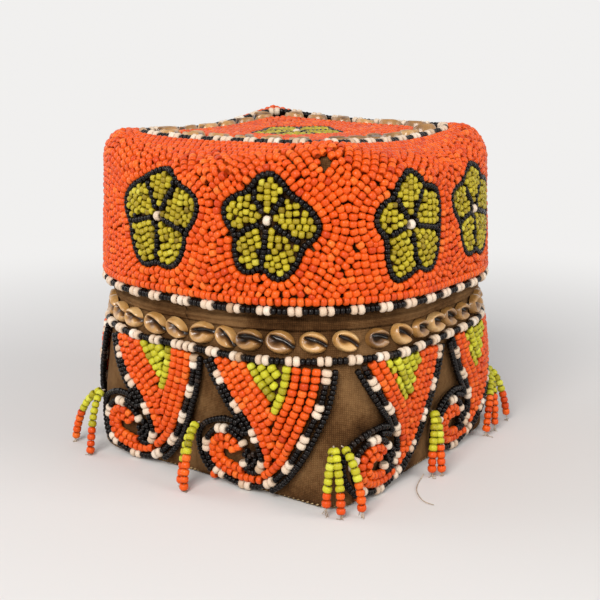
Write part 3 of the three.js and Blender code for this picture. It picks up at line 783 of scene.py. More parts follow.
def model_shell():
    """One cut shell: its thick lips curl over a mouth that widens toward one end and is darkened with
    painted shade.
    """
    bpy.ops.object.select_all(action="DESELECT")
    bpy.ops.mesh.primitive_grid_add(x_subdivisions=26, y_subdivisions=22, size=2)
    shell = bpy.context.object
    for vertex in shell.data.vertices:
        across, over, _ = vertex.co
        x, y = across * math.sqrt(1 - over**2 / 2), over * math.sqrt(1 - across**2 / 2)
        height, _ = shell_shape(x, y)
        vertex.co = (x * SHELL_LENGTH / 2, y * SHELL_WIDTH / 2, height * SHELL_RISE)
    return shell


shell_model = model_shell()
shell_points = [vertex.co.copy() for vertex in shell_model.data.vertices]
shell_faces = [tuple(face.vertices) for face in shell_model.data.polygons]
# Painted shade for each point of the shell, deepest in the mouth and the hollow.
shell_painted_shade = [shell_shape(2 * x / SHELL_LENGTH, 2 * y / SHELL_WIDTH)[1] for x, y, _ in shell_points]
bpy.data.objects.remove(shell_model)
shell = shell_material()


def shell_string(name, places, body, *nodes):
    """Copies of the modelled shell at their places, each a little turned and of its own tone."""
    chance = random.Random(name)
    points, faces, tones = [], [], []
    for spot, along, up, out in places:
        size = chance.uniform(0.9, 1.04)
        turn = Matrix.Rotation(chance.gauss(-0.1, 0.22), 3, out)
        lean = Matrix.Rotation(chance.gauss(0, 0.14), 3, along)
        basis = turn @ lean @ Matrix((along, up, out)).transposed()
        first = len(points)
        tone = chance.uniform(0.36, 0.72)
        for point, carving_and_shade in zip(shell_points, shell_painted_shade):
            points.append(spot + basis @ (point * size))
            # Painted shade: darker where the shell is cut deepest.
            tones.append(tone - 0.95 * carving_and_shade)
        faces.extend(tuple(first + corner for corner in face) for face in shell_faces)
    piece = mesh_object(name, points, faces)
    smooth(piece)
    piece.data.attributes.new(TONE, "FLOAT", "POINT").data.foreach_set("value", tones)
    finish_piece(piece, body, shell, "shell", *nodes)


chance = random.Random(3)
side_start = quarter_length(BELLY_SECTION, 0) / 2
for side in range(4):
    length = (quarter_length(BELLY_SECTION, side) + quarter_length(BELLY_SECTION, side + 1)) / 2
    places = []
    for index in range(SHELLS_PER_SIDE):
        s = side_start + (index + 0.5 + chance.uniform(-0.09, 0.09)) * length / SHELLS_PER_SIDE
        places.append(basket_place(s, SHELL_LINE, 1.2 * mm))
    shell_string(f"shells_on_side_{side + 1}", places, "body", f"body_shell_string_{side + 1}")
    side_start += length

# The V shapes with their scrolls. Each is drawn on the cloth with a string of white pairs and small
# black beads and a second one all of black, then filled with columns of orange beads that run down
# both arms, with a wedge of yellow green between them.
VEES = 8
SEEN_VEES = 4
FIRST_VEE = -16 * mm
VEE_SPACING = 49 * mm
VEE_SHIFTS = [0.6, -1.4, 1.0, 1.5, 0, 0, 0, 0]
COLUMN = 2.95 * mm
FILLING_STEP = 0.55 * mm
ARM_COLUMNS = 3
WEDGE_COLUMNS_END = 10
RIGHT_BLACK = 2.5 * mm
LEFT_BLACK = 2.45 * mm
SCROLL_SECOND = 2.3 * mm
WHITE_EDGE = ["white", "white", "black", "black", "black", "black"]
SCROLL_EDGE = [(20.2, 45.6), (19.8, 41), (18.9, 36.5), (17.6, 32), (16, 28.4), (14.4, 24.4), (12.4, 19.8),
               (9.8, 15), (6.8, 11.2), (3.2, 7.6), (-0.8, 4.8), (-5, 2.8), (-10.2, 2.2), (-15.2, 2.6),
               (-19.8, 3.9), (-23, 5.6), (-25, 8.4), (-25.8, 12), (-25, 16.4), (-22.4, 19.6), (-18.6, 21.6),
               (-14.6, 21.4), (-11.4, 20), (-9, 17.6), (-8.2, 14.6)]
RIGHT_EDGE_ENDS = 11
LEFT_EDGE = [(-20, 45.9), (-19, 43.7), (-16.8, 39.6), (-14.3, 35.5), (-12.1, 32.1), (-9.4, 29.1),
             (-6.8, 26.1), (-4.3, 22), (-3.4, 18.7), (-2.5, 16), (-1.9, 13.2), (-2.7, 10.5), (-4.6, 8.1),
             (-7.7, 7.4), (-9.6, 9.1), (-10.2, 11.6)]
LEFT_EDGE_ENDS = 11
LEFT_BLACK_ENDS = 8
SCROLL_BLACK = [(-7.4, 23.4), (-11, 24.8), (-14.6, 25.5), (-18.5, 24.9), (-23.2, 23), (-26.2, 21),
                (-28.4, 17.5), (-28.8, 14.4), (-28.3, 9.7), (-26.5, 6.3), (-24, 3.6)]
WEDGE = [(-7, 47), (5, 30.2), (10.2, 47)]
LEFT_WEDGE = [(-12.3, 47), (-0.4, 28.8), (6.8, 47)]
LEFT_WEDGES = (3, 4, 7)
BLACK_FIELD = [(-9, 16.4), (-5, 16.4), (-3.4, 13), (-4, 10.2), (-6.5, 8.8), (-9, 10.2)]
SCROLL_FOOT = [(-3, 3), (-24, 3), (-24, 9.5), (-17, 10.5), (-12.5, 8.2), (-7, 6.4), (-3, 6.6)]


def scaled(line):
    return [Vector((x * mm, z * mm)) for x, z in line]


def offset_line(line, distance):
    """The line moved sideways, to its left where the distance is positive."""
    points = [Vector(point) for point in line]
    moved = []
    for index, point in enumerate(points):
        before = points[max(index - 1, 0)]
        after = points[min(index + 1, len(points) - 1)]
        way = (after - before).normalized()
        moved.append(point + Vector((-way.y, way.x)) * distance)
    return moved


def inside(outline, point):
    odd = False
    for start, end in zip(outline, outline[1:] + outline[:1]):
        if (start[1] > point[1]) != (end[1] > point[1]):
            crossing = start[0] + (point[1] - start[1]) / (end[1] - start[1]) * (end[0] - start[0])
            odd ^= point[0] < crossing
    return odd


def filling_beads(place, outline, kind, ground, closeness, accept=None, way=None):
    """Beads in whatever room the strings have left, each as near to its neighbours as it can get."""
    low = [min(point[axis] for point in outline) for axis in (0, 1)]
    high = [max(point[axis] for point in outline) for axis in (0, 1)]
    radius, beads = BEAD_SIZES[kind][0], []
    for step in range(round((high[1] - low[1]) / FILLING_STEP)):
        for aside in range(round((high[0] - low[0]) / FILLING_STEP)):
            flat = Vector((low[0] + aside * FILLING_STEP, low[1] + step * FILLING_STEP))
            if not inside(outline, flat):
                continue
            spot, along, up, out = place(flat)
            if ground.free(spot, radius, closeness) and (accept is None or accept(flat)):
                turn = way(flat) if way else 0
                beads.append((spot, along * math.cos(turn) + up * math.sin(turn), out, kind))
                ground.add(spot, radius)
    return beads


def motif_places(first, spacing, seen, count, length):
    """The motifs on the two sides that are seen lie closer together than the others."""
    rest = (length - (seen - 1) * spacing) / (count - seen + 1)
    return [first + min(index, seen - 1) * spacing + max(0, index - seen + 1) * rest
            for index in range(count)]


vee_places = motif_places(FIRST_VEE, VEE_SPACING, SEEN_VEES, VEES, ring)
drawn = (SCROLL_EDGE, LEFT_EDGE, SCROLL_EDGE[:RIGHT_EDGE_ENDS], LEFT_EDGE[:LEFT_BLACK_ENDS],
         SCROLL_EDGE[RIGHT_EDGE_ENDS:], SCROLL_BLACK)
scroll_edge, left_edge, right_line, left_line, scroll_line, scroll_black = (
    rounded(scaled(line)) for line in drawn)
arms = scaled(LEFT_EDGE[:LEFT_EDGE_ENDS] + SCROLL_EDGE[RIGHT_EDGE_ENDS - 1::-1])
scroll = scaled(SCROLL_EDGE[RIGHT_EDGE_ENDS:] + LEFT_EDGE[:LEFT_EDGE_ENDS - 1:-1])
black_field, scroll_foot = scaled(BLACK_FIELD), scaled(SCROLL_FOOT)
black_lines = (offset_line(right_line, RIGHT_BLACK), offset_line(left_line, -LEFT_BLACK), scroll_black)


def in_scroll(point):
    return inside(scroll, point) and not inside(black_field, point)


for number, middle in enumerate(vee_places, 1):
    widen = random.Random(number).uniform(0.98, 1.02)
    shift = VEE_SHIFTS[number - 1] * mm
    wedge_outline = scaled(LEFT_WEDGE if number in LEFT_WEDGES else WEDGE)

    def on_vee(point):
        return basket_place(middle, point[1], BEAD_OUT, point[0] * widen + shift)

    def in_wedge(point):
        return inside(wedge_outline, point)

    def in_arms(point):
        return inside(arms, point) and not in_wedge(point)

    def thread(line, kinds, closeness=0.84, accept=None):
        return string_along(on_vee, line, kinds, body_ground, closeness=closeness, accept=accept)

    vee, wedge = thread(scroll_edge, WHITE_EDGE, 0.75), []
    vee += thread(left_edge, WHITE_EDGE[3:] + WHITE_EDGE[:3], 0.75)
    for line in black_lines:
        vee += thread(line, ["black"], 0.8)
    for column in range(1, ARM_COLUMNS + 1):
        right_column = offset_line(right_line, -column * COLUMN - 0.1 * mm)
        for line in (right_column, offset_line(left_edge, column * COLUMN)):
            vee += thread(line, ["orange"], accept=in_arms)
    for column in range(ARM_COLUMNS + 1, WEDGE_COLUMNS_END):
        lines = [offset_line(left_edge, column * COLUMN)]
        if column == ARM_COLUMNS + 1:
            lines.insert(0, offset_line(right_line, -column * COLUMN))
        for line in lines:
            wedge += thread(line, ["green"], accept=in_wedge)
            vee += thread(line, ["orange"], accept=in_arms)
    for row in range(1, 3):
        vee += thread(offset_line(scroll_line, -row * COLUMN * 0.97), ["orange"], 0.8, in_scroll)
    vee += thread(offset_line(scroll_black, SCROLL_SECOND), ["black"], 0.8)
    for outline, kind, closeness, accept in (
            (black_field, "black", 0.86, None), (scroll_foot, "orange", 0.79, None),
            (arms, "orange", 0.79, in_arms), (arms, "small_orange", 0.8, in_arms)):
        vee += filling_beads(on_vee, outline, kind, body_ground, closeness, accept)
    wedge += filling_beads(on_vee, wedge_outline, "green", body_ground, 0.79)
    stitch_beads(f"beads_of_vee_{number}", vee, "body", "orange_beads", f"vee_{number}")
    stitch_beads(f"beads_of_wedge_{number}", wedge, "body", "green_beads", f"vee_wedge_{number}")

# The tassels. Each is a few short strands, yellow green above and orange below, that leave the
# cloth at one stitch beside a scroll and spread on the table, with frayed thread at their ends.
TASSEL_BEFORE_VEE = 28.6 * mm
STITCH_HEIGHT = 21.5 * mm
STITCH_OUT = 2.6 * mm
THIRD_STITCH = 2.6 * mm
STRAND_STEPS = 40
BARE_THREAD = 1.4 * mm
THREAD_RADIUS = 0.25 * mm
FRAYED_ENDS = 5
FRAY_RADIUS = 0.13 * mm
FRAY_STEPS = 5
LONG_THREAD_RADIUS = 0.16 * mm

# Each strand: how far its end lies to the side and away from the stitch and above the table, in mm,
# and how many of its beads are green.
STRANDS = {
    1: [(-7.6, 10.2, 1.5, 5), (8, 8, 1.5, 6)],
    2: [(-0.6, 9.7, 1.5, 6), (2.4, 11.4, 1.5, 5)],
    3: [(-3, 5.5, 3, 6), (1.4, 7.6, 1.5, 6), (8.2, 7, 3, 5)],
    4: [(-8.3, 5.4, 1.5, 6), (-5.4, 7.6, 2, 5)],
    5: [(-2.9, 9.8, 1.5, 5), (-14, 2, 1.5, 5), (-20, -3, 1.5, 6)],
    6: [(-5, 11, 1.5, 6), (0.5, 13, 1.5, 5), (6, 10, 1.5, 6)],
    7: [(-4, 12, 1.5, 5), (4, 9, 1.5, 6)],
    8: [(-6, 9, 1.5, 6), (1, 12, 1.5, 6), (7, 11, 1.5, 5)],
}
LONG_THREAD = [(-7.9, 1.9), (-19.6, 5.4), (-25.2, 9.4), (-29, 13.8), (-29.2, 17.7)]
LONG_THREAD_TASSEL = 4


def loose_thread(points, faces, start, way, chance):
    """A frayed end of thread, which bends down to the table."""
    spots = [start]
    for _ in range(FRAY_STEPS):
        bend = Vector((chance.gauss(0, 0.35), chance.gauss(0, 0.35), chance.gauss(-0.2, 0.25)))
        way = (way + bend).normalized()
        spot = spots[-1] + way * 0.75 * mm
        spot.z = max(spot.z, 0.25 * mm)
        spots.append(spot)
    tube(points, faces, spots, FRAY_RADIUS, sides=4)


def thread_material():
    material, tree, shader = new_material("cotton thread", 0.9, 0.2)
    stops = [(0.3, (0.3, 0.22, 0.15)), (0.7, (0.66, 0.55, 0.42))]
    feed(tree, shader.inputs["Base Color"], colour_ramp(tree, object_noise(tree, 600, 2), stops))
    return material


def strand_line(root, leaving, landing, tip):
    """The curve of a strand, which leaves the cloth outwards and comes down on the table."""
    line = []
    for step in range(STRAND_STEPS + 1):
        share = step / STRAND_STEPS
        rest = 1 - share
        line.append(root * rest**3 + leaving * 3 * share * rest**2
                    + landing * 3 * share**2 * rest + tip * share**3)
    return line


def strand_beads(line, greens, along):
    """Beads threaded along a strand, green ones first, and the way that the last of them lies."""
    runs, at, beads, way = run_lengths(line), BARE_THREAD, [], None
    while True:
        kind = "green" if len(beads) < greens else "orange"
        middle_run = at + BEAD_SIZES[kind][1] / 2
        if middle_run > runs[-1]:
            return beads, way
        step = next(i for i in range(len(runs) - 1) if runs[i + 1] >= middle_run)
        way = (line[step + 1] - line[step]).normalized()
        share = (middle_run - runs[step]) / (runs[step + 1] - runs[step])
        beads.append((line[step].lerp(line[step + 1], share), way, along.cross(way), kind))
        at += BEAD_SIZES[kind][1]


cotton = thread_material()
for number, middle in enumerate(vee_places, 1):
    chance = random.Random(100 + number)
    stitch, along, _, out = basket_place(middle - TASSEL_BEFORE_VEE, STITCH_HEIGHT, STITCH_OUT)
    out = Vector((out.x, out.y, 0)).normalized()
    beads, points, faces = [], [], []
    for strand, (aside, away, rest, greens) in enumerate(STRANDS[number]):
        tip = stitch + along * aside * mm + out * away * mm
        tip.z = rest * mm
        root = stitch + along * (THIRD_STITCH if strand == 2 and aside > 5 else 0)
        leaving = root + along * aside * 0.25 * mm + out * clamp(away * 0.6, 4, 7) * mm
        landing = tip + Vector((0, 0, (STITCH_HEIGHT - tip.z) * 0.45)) - out * away * 0.12 * mm
        line = strand_line(root, leaving, landing, tip)
        threaded, way = strand_beads(line, greens, along)
        beads += threaded
        tube(points, faces, line, THREAD_RADIUS, sides=5)
        for _ in range(FRAYED_ENDS):
            loose_thread(points, faces, line[-1].copy(), way, chance)
    if number == LONG_THREAD_TASSEL:
        spots = (stitch + along * aside * mm + out * away * mm for aside, away in LONG_THREAD)
        path = [Vector((*spot.xy, 0.3 * mm)) for spot in spots]
        tube(points, faces, rounded(path), LONG_THREAD_RADIUS, sides=5)
    body = f"tassel_body_{number}"
    stitch_beads(f"strands_of_tassel_{number}", beads, body, "green_beads", f"tassel_{number}")
    threads = mesh_object(f"threads_of_tassel_{number}", points, faces)
    smooth(threads)
    finish_piece(threads, body, cotton, "brown_cloth")

# The lid's basket. It is plaited like the body's, slides down over the body's neck, and turns over
# a soft shoulder into the top, which has sunk a little between its corners with age.
LID_RIM = 62.5 * mm
LID_ALLOWANCE = 3.4 * mm
LID_WALL_DEPTH = 0.8 * mm
SHOULDER_START = 108 * mm
SHOULDER_WIDTH = 4.6 * mm
SHOULDER_LENGTH = 8.9 * mm
SIDE_END = SHOULDER_START + SHOULDER_LENGTH
FLOWER_LEVEL = 92.5 * mm


def lid_section(v):
    """Half width and corner of the lid, and the height, at a length v up its profile."""
    share = (min(v, NECK_TOP) - MOUTH_HEIGHT) / (NECK_TOP - MOUTH_HEIGHT)
    half, corner, _ = (size + LID_ALLOWANCE for size in between(MOUTH_SIZES, NECK_SIZES, share))
    if v <= SHOULDER_START:
        return (half, corner, corner), v
    angle = (v - SHOULDER_START) / SHOULDER_LENGTH * math.pi / 2
    drawn_in = SHOULDER_WIDTH * (1 - math.cos(angle))
    height = SHOULDER_START + (LID_TOP - SHOULDER_START) * math.sin(angle)
    return (half - drawn_in, corner - drawn_in, corner - drawn_in), height


FLOWER_SECTION = lid_section(FLOWER_LEVEL)[0]
lid_ring = ring_length(FLOWER_SECTION)


def lid_place(s, v, out=0.0):
    """A place over the lid's side and shoulder, at the length v up its profile."""
    (section, height), (low_section, low), (high_section, high) = map(lid_section, (v, v - mm, v + mm))
    here, facing = square_point(section, FLOWER_SECTION, s)
    below, above = (square_point(section, FLOWER_SECTION, s)[0] for section in (low_section, high_section))
    return wall_place(here, facing, below, above, height, high - low, out)


points, faces = [], []
plaited_wall(points, faces, lid_place, lid_ring, LID_RIM, SIDE_END - mm, LID_WALL_DEPTH)
top_section = lid_section(SIDE_END)[0]
plaited_sheet(points, faces, top_section, top_section[0], LID_TOP - LID_WALL_DEPTH)
lid_plaiting = mesh_object("plaited_lid", points, faces)
for vertex in lid_plaiting.data.vertices:
    if vertex.co.z > LID_TOP - 2 * mm:
        vertex.co = settled(vertex.co)
apply_modifier(lid_plaiting, "SOLIDIFY", thickness=STRIP_THICKNESS * 0.9, offset=0)
smooth(lid_plaiting)
finish_piece(lid_plaiting, "lid", palm, "plaiting", "lid_basket")

# The cloth cover of the lid. A square of the same cloth is pulled over the lid and down its sides,
# and hardly shows between the beads that are sewn to it.
SIDE_RINGS = 40
TOP_RINGS = 14
stations = [lid_ring * step / 240 for step in range(240)]
rows = []
for v in (mix(LID_RIM, SIDE_END, step / SIDE_RINGS) for step in range(SIDE_RINGS + 1)):
    rows.append([(lid_place(s, v, COVER_OUT)[0], (s, v)) for s in stations])
for share in (1 - shrink / TOP_RINGS for shrink in range(1, TOP_RINGS + 1)):
    edge = [lid_place(s, SIDE_END, COVER_OUT)[0] for s in stations]
    flat = [Vector((spot.x * share, spot.y * share, LID_TOP + COVER_OUT)) for spot in edge]
    rows.append([(settled(spot), tuple(spot.xy)) for spot in flat])
lid_cloth = cloth_sheet("lid_cloth", rows, closed=True)
finish_piece(lid_cloth, "lid", cloth, "brown_cloth", "lid_cloth_cover")

# The row of beads on the lid's rim. White pairs and small black beads are threaded by turns, as on
# the body, and stitched along the very edge of the cloth.
RIM_ROW_HEIGHT = LID_RIM + 1.7 * mm


def lid_beads(point):
    return lid_place(point[0], point[1], BEAD_OUT)


lid_ground = Ground()
rim_line = [(lid_ring * step / 400, RIM_ROW_HEIGHT) for step in range(401)]
row = string_along(lid_beads, rim_line, PAIRS, lid_ground)
stitch_beads("bead_row_on_the_rim", row, "lid", "black_white_beads", "lid_rim_bead_row")

# The flowers on the lid's side. Small black beads draw five petals round one white bead, with a
# line of black between each two, and the petals are filled with yellow green.
FIRST_FLOWER = -10 * mm
FLOWER_SPACING = 43.2 * mm
SEEN_FLOWERS = [
    ((0.2, -1.2), [(4, 17.2), (17.9, 5.9), (8.3, -15.9), (-7.5, -16.2), (-15.9, 5.1)],
     [(8.3, 11.6), (12.5, -4.4), (-0.2, -15.2), (-12.6, -3.1), (-5.2, 12.6)]),
    ((-1, 0.6), [(0.2, 16), (16.2, -1.4), (4.6, -18.9), (-8.5, -16.5), (-14.5, 3.6)],
     [(6.1, 8.9), (10.9, -7.7), (-1.5, -14.4), (-9.9, -4.7), (-5.4, 9.2)]),
    ((2.7, -2.4), [(-0.4, 18.9), (13.3, 10), (10.2, -15.7), (-7, -17.9), (-13.4, 3.5)],
     [(5.8, 12.1), (14.3, -2.8), (2.6, -13.9), (-9.5, -3.3), (-6.5, 9.7)]),
    ((-0.5, -2), [(-1.6, 17.6), (19.5, 6.8), (8.5, -16.6), (-6.7, -15), (-17, 6.5)],
     [(6.8, 10.2), (19.4, -4.7), (0.4, -14), (-10.8, -3.5), (-8.1, 10.1)]),
]
PLAIN_FLOWER = ((0, -1), [(0.5, 17.2), (16.5, 4), (8, -16.5), (-7.5, -16.5), (-15, 4.8)],
                [(6.8, 10.6), (12.5, -4.8), (0.3, -14.5), (-10.6, -3.7), (-6.2, 10.5)])
CENTRE_ROOM = 2.6 * mm
CENTRE_CLEAR = 2.7 * mm
PETAL_SWELLING = 1.3 * mm
PETAL_ROOM = 1.72 * mm
PETAL_COLUMN = 2.2 * mm
SMALL_ROOMS = (("small_green", 1.5 * mm), ("tiny_green", 1.7 * mm))

flower_places = motif_places(FIRST_FLOWER, FLOWER_SPACING, 4, 8, lid_ring)


def petal_outline(tips, notches):
    """Each petal swells to a blunt corner between its tip and the notch on either side."""
    outline = []
    for index, (tip, notch) in enumerate(zip(tips, notches)):
        for start, end in ((notches[index - 1], tip), (tip, notch)):
            way = (end - start).normalized()
            swelling = Vector((-way.y, way.x)) * PETAL_SWELLING
            outline.extend((start, start.lerp(end, 0.5) + swelling))
    return outline


def distance_to(outline, points):
    """How far each of many points lies from a closed outline."""
    start = np.array([point[:] for point in outline])
    way = np.roll(start, -1, axis=0) - start
    away = points[:, None, :] - start[None]
    share = np.clip((away * way).sum(2) / (way * way).sum(1), 0, 1)
    return np.linalg.norm(away - share[..., None] * way, axis=2).min(1)


def flower_beads(place, outline, tips, notches, ground):
    """A flower: its centre, its black outline, the spokes between its petals, and the petals."""
    middle, along, up, out = place(Vector((0, 0)))
    beads = [(middle, along, out, "white")]
    ground.add(middle, BEAD_SIZES["white"][0])
    beads += string_along(place, outline, ["black"], ground, closed=True, closeness=0.7)
    for notch in notches:
        spoke = [notch.normalized() * CENTRE_ROOM, notch * 0.93]
        beads += string_along(place, spoke, ["black"], ground, closeness=0.72)
    radius, length = BEAD_SIZES["small_green"]

    def from_spokes(point):
        return min((point - notch * clamp(point.dot(notch) / notch.dot(notch))).length for notch in notches)

    def in_petal(point):
        return (point.length > CENTRE_CLEAR and inside(outline, point) and from_spokes(point) > PETAL_ROOM
                and distance_to(outline, np.array([point[:]]))[0] > PETAL_ROOM)

    for index, tip in enumerate(tips):
        way = tip.normalized()
        aside = Vector((-way.y, way.x))
        start = 0.5 * (index % 2)
        for column in sorted((start + step for step in range(-4, 4)), key=abs):
            steps = (aside * column * PETAL_COLUMN + way * step * 0.25 * mm for step in range(90))
            clear = [point for point in steps if in_petal(point)]
            count = int((clear[-1] - clear[0]).length / length) + 1 if clear else 0
            for bead in range(count):
                spot, along, up, out = place(clear[0].lerp(clear[-1], bead / max(count - 1, 1)))
                if ground.free(spot, radius, 0.76):
                    beads.append((spot, along * way.x + up * way.y, out, "small_green"))
                    ground.add(spot, radius)
    for kind, room in SMALL_ROOMS:
        beads += filling_beads(place, outline, kind, ground, 0.8, lambda point: from_spokes(point) > room)
    beads += filling_beads(place, outline, "black", ground, 0.76)
    return beads


def sunk(point):
    """How far the settling of the lid has brought a place on its side down."""
    return lid_section(point.y)[1] - lid_place(point.x, point.y)[0].z


outlines = []
for number, middle in enumerate(flower_places, 1):
    shift, tips, notches = (SEEN_FLOWERS + [PLAIN_FLOWER] * 4)[number - 1]
    shift = Vector(shift) * mm
    start = Vector((middle, FLOWER_LEVEL)) + shift
    tips, notches = ([point + Vector((0, sunk(start + point))) for point in scaled(line)]
                     for line in (tips, notches))
    outline = rounded(petal_outline(tips, notches), 1, closed=True)
    outlines.append([point + shift for point in outline])

    def on_flower(point):
        return lid_place(middle + shift.x + point[0], FLOWER_LEVEL + shift.y + point[1], BEAD_OUT)

    beads = flower_beads(on_flower, outline, tips, notches, lid_ground)
    stitch_beads(f"beads_of_flower_{number}", beads, "lid", "green_beads", f"lid_flower_{number}")

# The orange beadwork of the lid's side. Its strings follow the flowers in ever wider rings until
# they meet those of the next flower, and go on over the shoulder. A few beads have been lost from
# one spot near the top.
ORANGE_ROW = 2.68 * mm
FIRST_ROW = 2.45 * mm
ORANGE_ROWS = 14
RING_TOLERANCE = 0.06 * mm
RUN_GAP = 4 * mm
SIDE_START = RIM_ROW_HEIGHT + 2.4 * mm
FILLED_FROM = RIM_ROW_HEIGHT + 2.5 * mm
LOW_ROW_HEIGHT = RIM_ROW_HEIGHT + 3.1 * mm
LOST_SPOT = Vector((50.2, 111.8)) * mm
LOST_RADIUS = 2.6 * mm


def ring_outside(outline, distance):
    """A closed line round an outline, at a distance from it."""
    path = spaced(outline, 0.4 * mm, closed=True)[:-1]
    ring = []
    for before, point, after in zip(path[-1:] + path[:-1], path, path[1:] + path[:1]):
        way = (after - before).normalized()
        ring.append(point + Vector((-way.y, way.x)) * distance)
    return ring


def flower_distance(points):
    """How far points on the lid's side lie from the nearest flower's outline."""
    nearest = np.full(len(points), 1.0)
    for middle, outline in zip(flower_places, outlines):
        local = points.copy()
        local[:, 0] = (local[:, 0] - middle + lid_ring / 2) % lid_ring - lid_ring / 2
        near = np.abs(local[:, 0]) < 60 * mm
        if near.any():
            nearest[near] = np.minimum(nearest[near], distance_to(outline, local[near] - [0, FLOWER_LEVEL]))
    return nearest


def row_direction(point):
    """The way along the rings at a place on the lid's side, across the steepest way from the flowers."""
    around = np.array([point[:]]) + np.array([(0.4, 0), (-0.4, 0), (0, 0.4), (0, -0.4)]) * mm
    right, left, above, below = flower_distance(around)
    return math.atan2(above - below, right - left) + math.pi / 2


def kept(point):
    """Between the rim row and the top's edge, away from the lost beads and outside the flowers."""
    if not SIDE_START < point[1] < SIDE_END + 0.5 * mm:
        return False
    if (Vector(point) - LOST_SPOT).length < LOST_RADIUS:
        return False
    for middle, outline in zip(flower_places, outlines):
        aside = (point[0] - middle + lid_ring / 2) % lid_ring - lid_ring / 2
        if abs(aside) < 22 * mm and inside(outline, (aside, point[1] - FLOWER_LEVEL)):
            return False
    return True


low_line = [(lid_ring * step / 300, LOW_ROW_HEIGHT) for step in range(301)]
orange = string_along(lid_beads, low_line, ["orange"], lid_ground)
for level in range(ORANGE_ROWS):
    distance = FIRST_ROW + level * ORANGE_ROW
    for middle, outline in zip(flower_places, outlines):
        moved = np.array([point[:] for point in ring_outside(outline, distance)]) + [middle, FLOWER_LEVEL]
        good = flower_distance(moved) > distance - RING_TOLERANCE
        run = []
        for spot, fits in zip(map(Vector, [*moved, moved[0]]), [*good, False]):
            if fits and (not run or (spot - run[-1]).length < RUN_GAP):
                run.append(spot)
                continue
            if len(run) > 3:
                orange += string_along(lid_beads, run, ["orange"], lid_ground, closeness=0.8, accept=kept)
            run = [spot] if fits else []
side_outline = [(0, FILLED_FROM), (lid_ring, FILLED_FROM), (lid_ring, SIDE_END), (0, SIDE_END)]
for kind, closeness in (("orange", 0.76), ("small_orange", 0.71)):
    orange += filling_beads(lid_beads, side_outline, kind, lid_ground, closeness, kept, row_direction)
stitch_beads("beads_of_the_lid_side", orange, "lid", "orange_beads", "lid_side_beadwork")

# The border row on the lid's top. The same string of white pairs and black beads marks out a
# square with round corners, close to the edge.
TOP_BEAD_HEIGHT = LID_TOP + BEAD_OUT
BORDER_HALF = 43.5 * mm
BORDER_CORNER = 12 * mm
BORDER_LIFT = 0.4 * mm


def top_beads(point):
    spot = settled(Vector((point[0], point[1], TOP_BEAD_HEIGHT)))
    return spot, Vector((1, 0, 0)), Vector((0, 1, 0)), Vector((0, 0, 1))


def square_line(half, corner):
    section = (half, corner, corner)
    length = ring_length(section)
    return [square_point(section, section, length * step / 240)[0] for step in range(241)]


border_line = square_line(BORDER_HALF, BORDER_CORNER)
row = [(spot + Vector((0, 0, BORDER_LIFT)), axis, out, kind)
       for spot, axis, out, kind in string_along(top_beads, border_line, PAIRS, lid_ground)]
stitch_beads("border_row_on_the_top", row, "lid", "black_white_beads", "lid_top_border_row")

# The orange beadwork outside the border. Its strings run round the border, one outside the other,
# out to the beads of the shoulder.
FIRST_OUTER_ROW = 3.25 * mm
EDGE_MARGIN = 0.5 * mm
CORNER_REACH = 83 * mm


def on_the_top(point):
    return (max(abs(point[0]), abs(point[1])) < top_section[0] - EDGE_MARGIN
            and abs(point[0]) + abs(point[1]) < CORNER_REACH)


def outside_border(point):
    return not inside(border_line, point)


beads = []
for line in range(5):
    out = FIRST_OUTER_ROW + line * ORANGE_ROW
    row = square_line(BORDER_HALF + out, BORDER_CORNER + out)
    beads += string_along(top_beads, row, ["orange"], lid_ground, accept=on_the_top)
top_ring = ring_length(top_section)
edge = [square_point(top_section, top_section, top_ring * step / 80)[0] for step in range(80)]
for kind, closeness in (("orange", 0.76), ("small_orange", 0.72)):
    beads += filling_beads(top_beads, edge, kind, lid_ground, closeness, outside_border)
outer = [bead for bead in beads if outside_border(bead[0])]
stitch_beads("beads_outside_the_border", outer, "lid", "orange_beads", "lid_top_outer_beadwork")

# The shells on the lid's top. A string of cut shells lies along each side of the border, inside it.
TOP_SHELLS_PER_SIDE = 6
TOP_SHELL_SPACING = 11.5 * mm
TOP_SHELL_LINE = 38.05 * mm
TOP_SHELL_HEIGHT = LID_TOP + 2.2 * mm
for side in range(4):
    turn = Matrix.Rotation(side * math.pi / 2, 3, "Z")
    places = []
    for index in range(TOP_SHELLS_PER_SIDE):
        along = (index - (TOP_SHELLS_PER_SIDE - 1) / 2) * TOP_SHELL_SPACING
        spot = settled(turn @ Vector((along, -TOP_SHELL_LINE, TOP_SHELL_HEIGHT)))
        places.append((spot, turn @ Vector((1, 0, 0)), turn @ Vector((0, 1, 0)), Vector((0, 0, 1))))
    shell_string(f"shells_on_top_{side + 1}", places, "lid", f"lid_top_shell_string_{side + 1}")

# The middle of the lid's top. One larger flower like those on the side, in a field of orange rings.
TOP_FLOWER_SIZE = 1.08
FIELD_HALF = 33.2 * mm
FIELD_CORNER = 8 * mm
FIELD_ROWS = 9


def in_field(point):
    return inside(field_outline, point)


def outside_flower(point):
    return not inside(outline, point)


